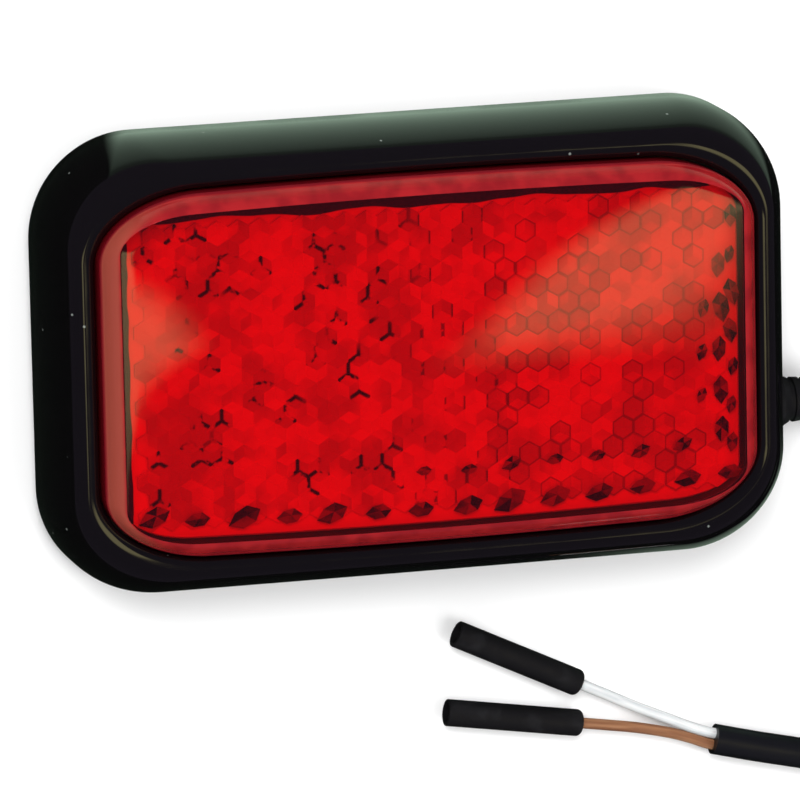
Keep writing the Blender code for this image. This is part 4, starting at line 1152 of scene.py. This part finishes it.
def plate_rings():
    """Skirt and plate under the prisms, closed on top."""
    top = OPTIC_HIGH.z - PLATE_DROP / 2
    inner = OPTIC_INSET + SKIRT_WALL
    profile = [
        (inner, OPTIC_HIGH.z - SKIRT_DROP), (inner, OPTIC_LOW.z), (OPTIC_INSET, OPTIC_LOW.z),
        (OPTIC_INSET, top - PLATE_EDGE), (OPTIC_INSET + PLATE_EDGE, top),
    ]
    return [flat_ring(inset, height) for inset, height in profile]


cell = cell_object()
field = run_tree("prism_field", *field_tree(), {
    "Cell": cell, "Pitch": CELL_PITCH, "Finish": PRISM_ACRYLIC, "Seed": FIELD_SEED,
    "Half length": OPTIC_HIGH.x - FIELD_MARGIN, "Half width": OPTIC_HIGH.y - FIELD_MARGIN,
    "Height": OPTIC_HIGH.z - PLATE_DROP / 2 - CELL_RELIEF / 2 + CELL_LIFT,
})
bpy.data.objects.remove(cell)
piece("prism_field", field, "lamp_module", None, ())
plate = loft("prism_plate", plate_rings())
piece("prism_plate", plate, "lamp_module", PLATE_ACRYLIC, ("reflex_optic",))

prism = border_prism()
for name, (start, end, count, bow, turn, size, seed) in BORDER_ROWS.items():
    row = run_tree(name, *border_tree(), {
        "Start": (start[0] * MM, start[1] * MM, BORDER_Z), "End": (end[0] * MM, end[1] * MM, BORDER_Z),
        "Prism": prism, "Count": count, "Bow": bow * MM, "Turn": turn, "Size": size,
        "Finish": DARK_PRISM, "Seed": seed,
    })
    piece(name, row, "lamp_module", None, ())
bpy.data.objects.remove(prism)


# ---------------------------------------------------------------- turned pieces, cores and tie

MOUTH_EDGE = 0.06 * MM
CORE_GAP = 0.10 * MM

RELIEF_FLANGE = 0.80 * MM
RELIEF_TAIL = 4.00 * MM
RELIEF_GAP = 0.10 * MM
RELIEF_WALL = 0.60 * MM
RELIEF_TIP_WALL = 0.32 * MM
RELIEF_LIP = 0.40 * MM
GROOVES = 4
GROOVE_WIDTH = 0.36 * MM
GROOVE_DEPTH = 0.18 * MM
GROOVE_EDGE = 0.06 * MM

TIE_THICKNESS = 0.35 * MM
TIE_ROUND = 1.3 * MM
TIE_EDGE = 0.86
TIE_HEAD_SHARE = 0.35
TIE_BEVEL = 0.22
# Head and trimmed tail: X span from the head's middle, half width over the strap's, Z span from its top
TIE_BLOCKS = [((-1.9, 1.5), 1.15, (-0.05, 1.5)), ((1.5, 4.2), 0.86, (0.45, 0.95))]


def turned_mesh(name, profile, start, axis, sides=48, sharp=35):
    """A ring profile of (radius, distance along) spun about an axis, closed."""
    work = bmesh.new()
    axis = Vector(axis).normalized()
    side = axis.orthogonal().normalized()
    up = axis.cross(side)
    columns = []
    for step in range(sides):
        turn = 2 * math.pi * step / sides
        out = side * math.cos(turn) + up * math.sin(turn)
        places = [Vector(start) + axis * along + out * radius for radius, along in profile]
        columns.append([work.verts.new(place) for place in places])
    for here, after in zip(columns, columns[1:] + columns[:1]):
        skin(work, here, after)
    bmesh.ops.recalc_face_normals(work, faces=work.faces)
    return mesh_of(name, work, sharp)


def cad_axis(name, axis):
    """Where a turned CAD node starts and ends on its axis."""
    axis = Vector(axis).normalized()
    side = axis.orthogonal().normalized()
    up = axis.cross(side)
    corners = [vertex.co for vertex in frame["nodes"][name].data.vertices]
    spans = [[corner.dot(way) for corner in corners] for way in (axis, side, up)]
    centre = sum((way * (min(span) + max(span)) / 2 for way, span in zip((side, up), spans[1:])), Vector())
    return centre + axis * min(spans[0]), centre + axis * max(spans[0])


def sleeve_profile(length):
    """Flat-cut mouth with a broken edge, plain wall and a rounded shoulder down to the core."""
    bore = SLEEVE_RADIUS - SLEEVE_WALL
    neck = CORE_RADIUS + CORE_GAP
    shoulder = (SLEEVE_SHOULDER, SLEEVE_SHOULDER)
    return [
        (bore, length - MOUTH_EDGE), (bore + MOUTH_EDGE, length),
        (SLEEVE_RADIUS - 0.10 * MM, length), (SLEEVE_RADIUS - 0.03 * MM, length - 0.03 * MM),
        (SLEEVE_RADIUS, length - 0.12 * MM),
        *arc((SLEEVE_RADIUS - SLEEVE_SHOULDER, SLEEVE_SHOULDER), shoulder, 0, -90, 8),
        (neck, 0.0), (neck, SLEEVE_NECK), (bore, SLEEVE_NECK + bore - neck),
    ]


def relief_profile():
    """Plain body in the wall, a flange outside it and a tapered tail with ring grooves."""
    length = RELIEF_HIGH.x - RELIEF_LOW.x
    body = length - RELIEF_TAIL - RELIEF_FLANGE
    bore = SHEATH_RADIUS + RELIEF_GAP
    wall = SHEATH_RADIUS + RELIEF_WALL
    tip = SHEATH_RADIUS + RELIEF_TIP_WALL
    lip = wall + RELIEF_LIP
    tail = body + RELIEF_FLANGE
    profile = [(bore, 0.0), (wall, 0.0), (wall, body), (lip - 0.1 * MM, body), (lip, body + 0.1 * MM)]
    profile += [(lip, tail - 0.2 * MM), (lip - 0.2 * MM, tail)]
    for number in range(GROOVES):
        low = tail + RELIEF_TAIL * (number + 0.45) / (GROOVES + 0.2)
        high = low + GROOVE_WIDTH
        outer = wall + (tip - wall) * (low - tail) / RELIEF_TAIL
        inner = outer - GROOVE_DEPTH
        profile += [(outer, low), (inner, low + GROOVE_EDGE), (inner, high)]
        profile.append((outer - 0.02 * MM, high + GROOVE_EDGE))
    return profile + [(tip, length - 0.12 * MM), (tip - 0.10 * MM, length), (bore, length)]


def tie_mesh():
    """A strap round the coil's turns, its locking head on the outside and a short trimmed tail."""
    work = bmesh.new()
    middle = (TIE_LOW + TIE_HIGH) / 2
    half = (TIE_HIGH - TIE_LOW) / 2
    outlines = []
    for cover in (0.0, TIE_THICKNESS):
        outline = []
        for index, (sign_x, sign_z) in enumerate([(1, 1), (-1, 1), (-1, -1), (1, -1)]):
            centre = (sign_x * (half.x - TIE_ROUND), sign_z * (half.z - TIE_ROUND))
            outline += arc(centre, [TIE_ROUND - cover] * 2, 90 * index, 90 * index + 90, 8)
        outlines.append(outline)
    outer, inner = outlines
    between = [((o[0] + i[0]) / 2, (o[1] + i[1]) / 2) for o, i in zip(outer, inner)]
    section = [
        (between, -1.0), (outer, -TIE_EDGE), (outer, TIE_EDGE), (between, 1.0), (inner, TIE_EDGE),
        (inner, -TIE_EDGE),
    ]
    loops = [
        [work.verts.new((middle.x + x, middle.y + share * half.y, middle.z + z)) for x, z in outline]
        for outline, share in section
    ]
    for low, high in zip(loops, loops[1:] + loops[:1]):
        skin(work, low, high)
    head_x = middle.x + half.x * TIE_HEAD_SHARE
    for across, width, rise in TIE_BLOCKS:
        low = Vector((head_x + across[0] * MM, middle.y - half.y * width, TIE_HIGH.z + rise[0] * MM))
        high = Vector((head_x + across[1] * MM, middle.y + half.y * width, TIE_HIGH.z + rise[1] * MM))
        edges = list(dict.fromkeys(edge for vert in add_block(work, low, high) for edge in vert.link_edges))
        edge = min(high - low) * TIE_BEVEL
        bmesh.ops.bevel(work, geom=edges, offset=edge, segments=2, affect="EDGES", profile=0.5)
    bmesh.ops.recalc_face_normals(work, faces=work.faces)
    return mesh_of("nylon_tie", work, 40)


for colour, run, finish in (("white", WHITE_RUN, WHITE_CORE), ("brown", BROWN_RUN, BROWN_CORE)):
    axis = Vector(JOINTS[f"{colour}_sleeve_slide"]["axis"]).normalized()
    # The sleeve's mouth faces -X, so its axis points that way whichever way the joint's does
    if axis.x > 0:
        axis = -axis
    wire_end, mouth = cad_axis(f"{colour}_sleeve", axis)
    sleeve = turned_mesh(f"{colour}_vinyl_sleeve", sleeve_profile((mouth - wire_end).length), wire_end, axis)
    piece(sleeve.name, sleeve, f"{colour}_wire_sleeve", SLEEVE_VINYL, (f"{colour}_sleeve",))
    inside = run[-1] + FREE_END * CORE_OVERLAP
    straight = [mouth - axis * CORE_START]
    straight += [wire_end + axis * reach for reach in (SLEEVE_NECK, 0.0, -CORE_STRAIGHT)]
    route = smooth_route(straight + run + [inside], CORE_SPACING)
    core = tube_mesh(f"{colour}_insulated_core", route, CORE_RADIUS, 20)
    piece(core.name, core, "mounting_frame", finish, (f"{colour}_core",))

relief = turned_mesh("flex_relief", relief_profile(), (RELIEF_LOW.x, EXIT.y, EXIT.z), (1, 0, 0))
piece("flex_relief", relief, "mounting_frame", SLEEVE_VINYL, ("strain_relief",))
piece("nylon_tie", tie_mesh(), "mounting_frame", NYLON, ("coil_tie",))

path = sheath_route()
sheath = piece("cable_sheath", tube_mesh("cable_sheath", path, SHEATH_RADIUS, 20), "mounting_frame",
               SHEATH_PVC, ("cable_lamp_run", "cable_coil", "cable_free_run"))
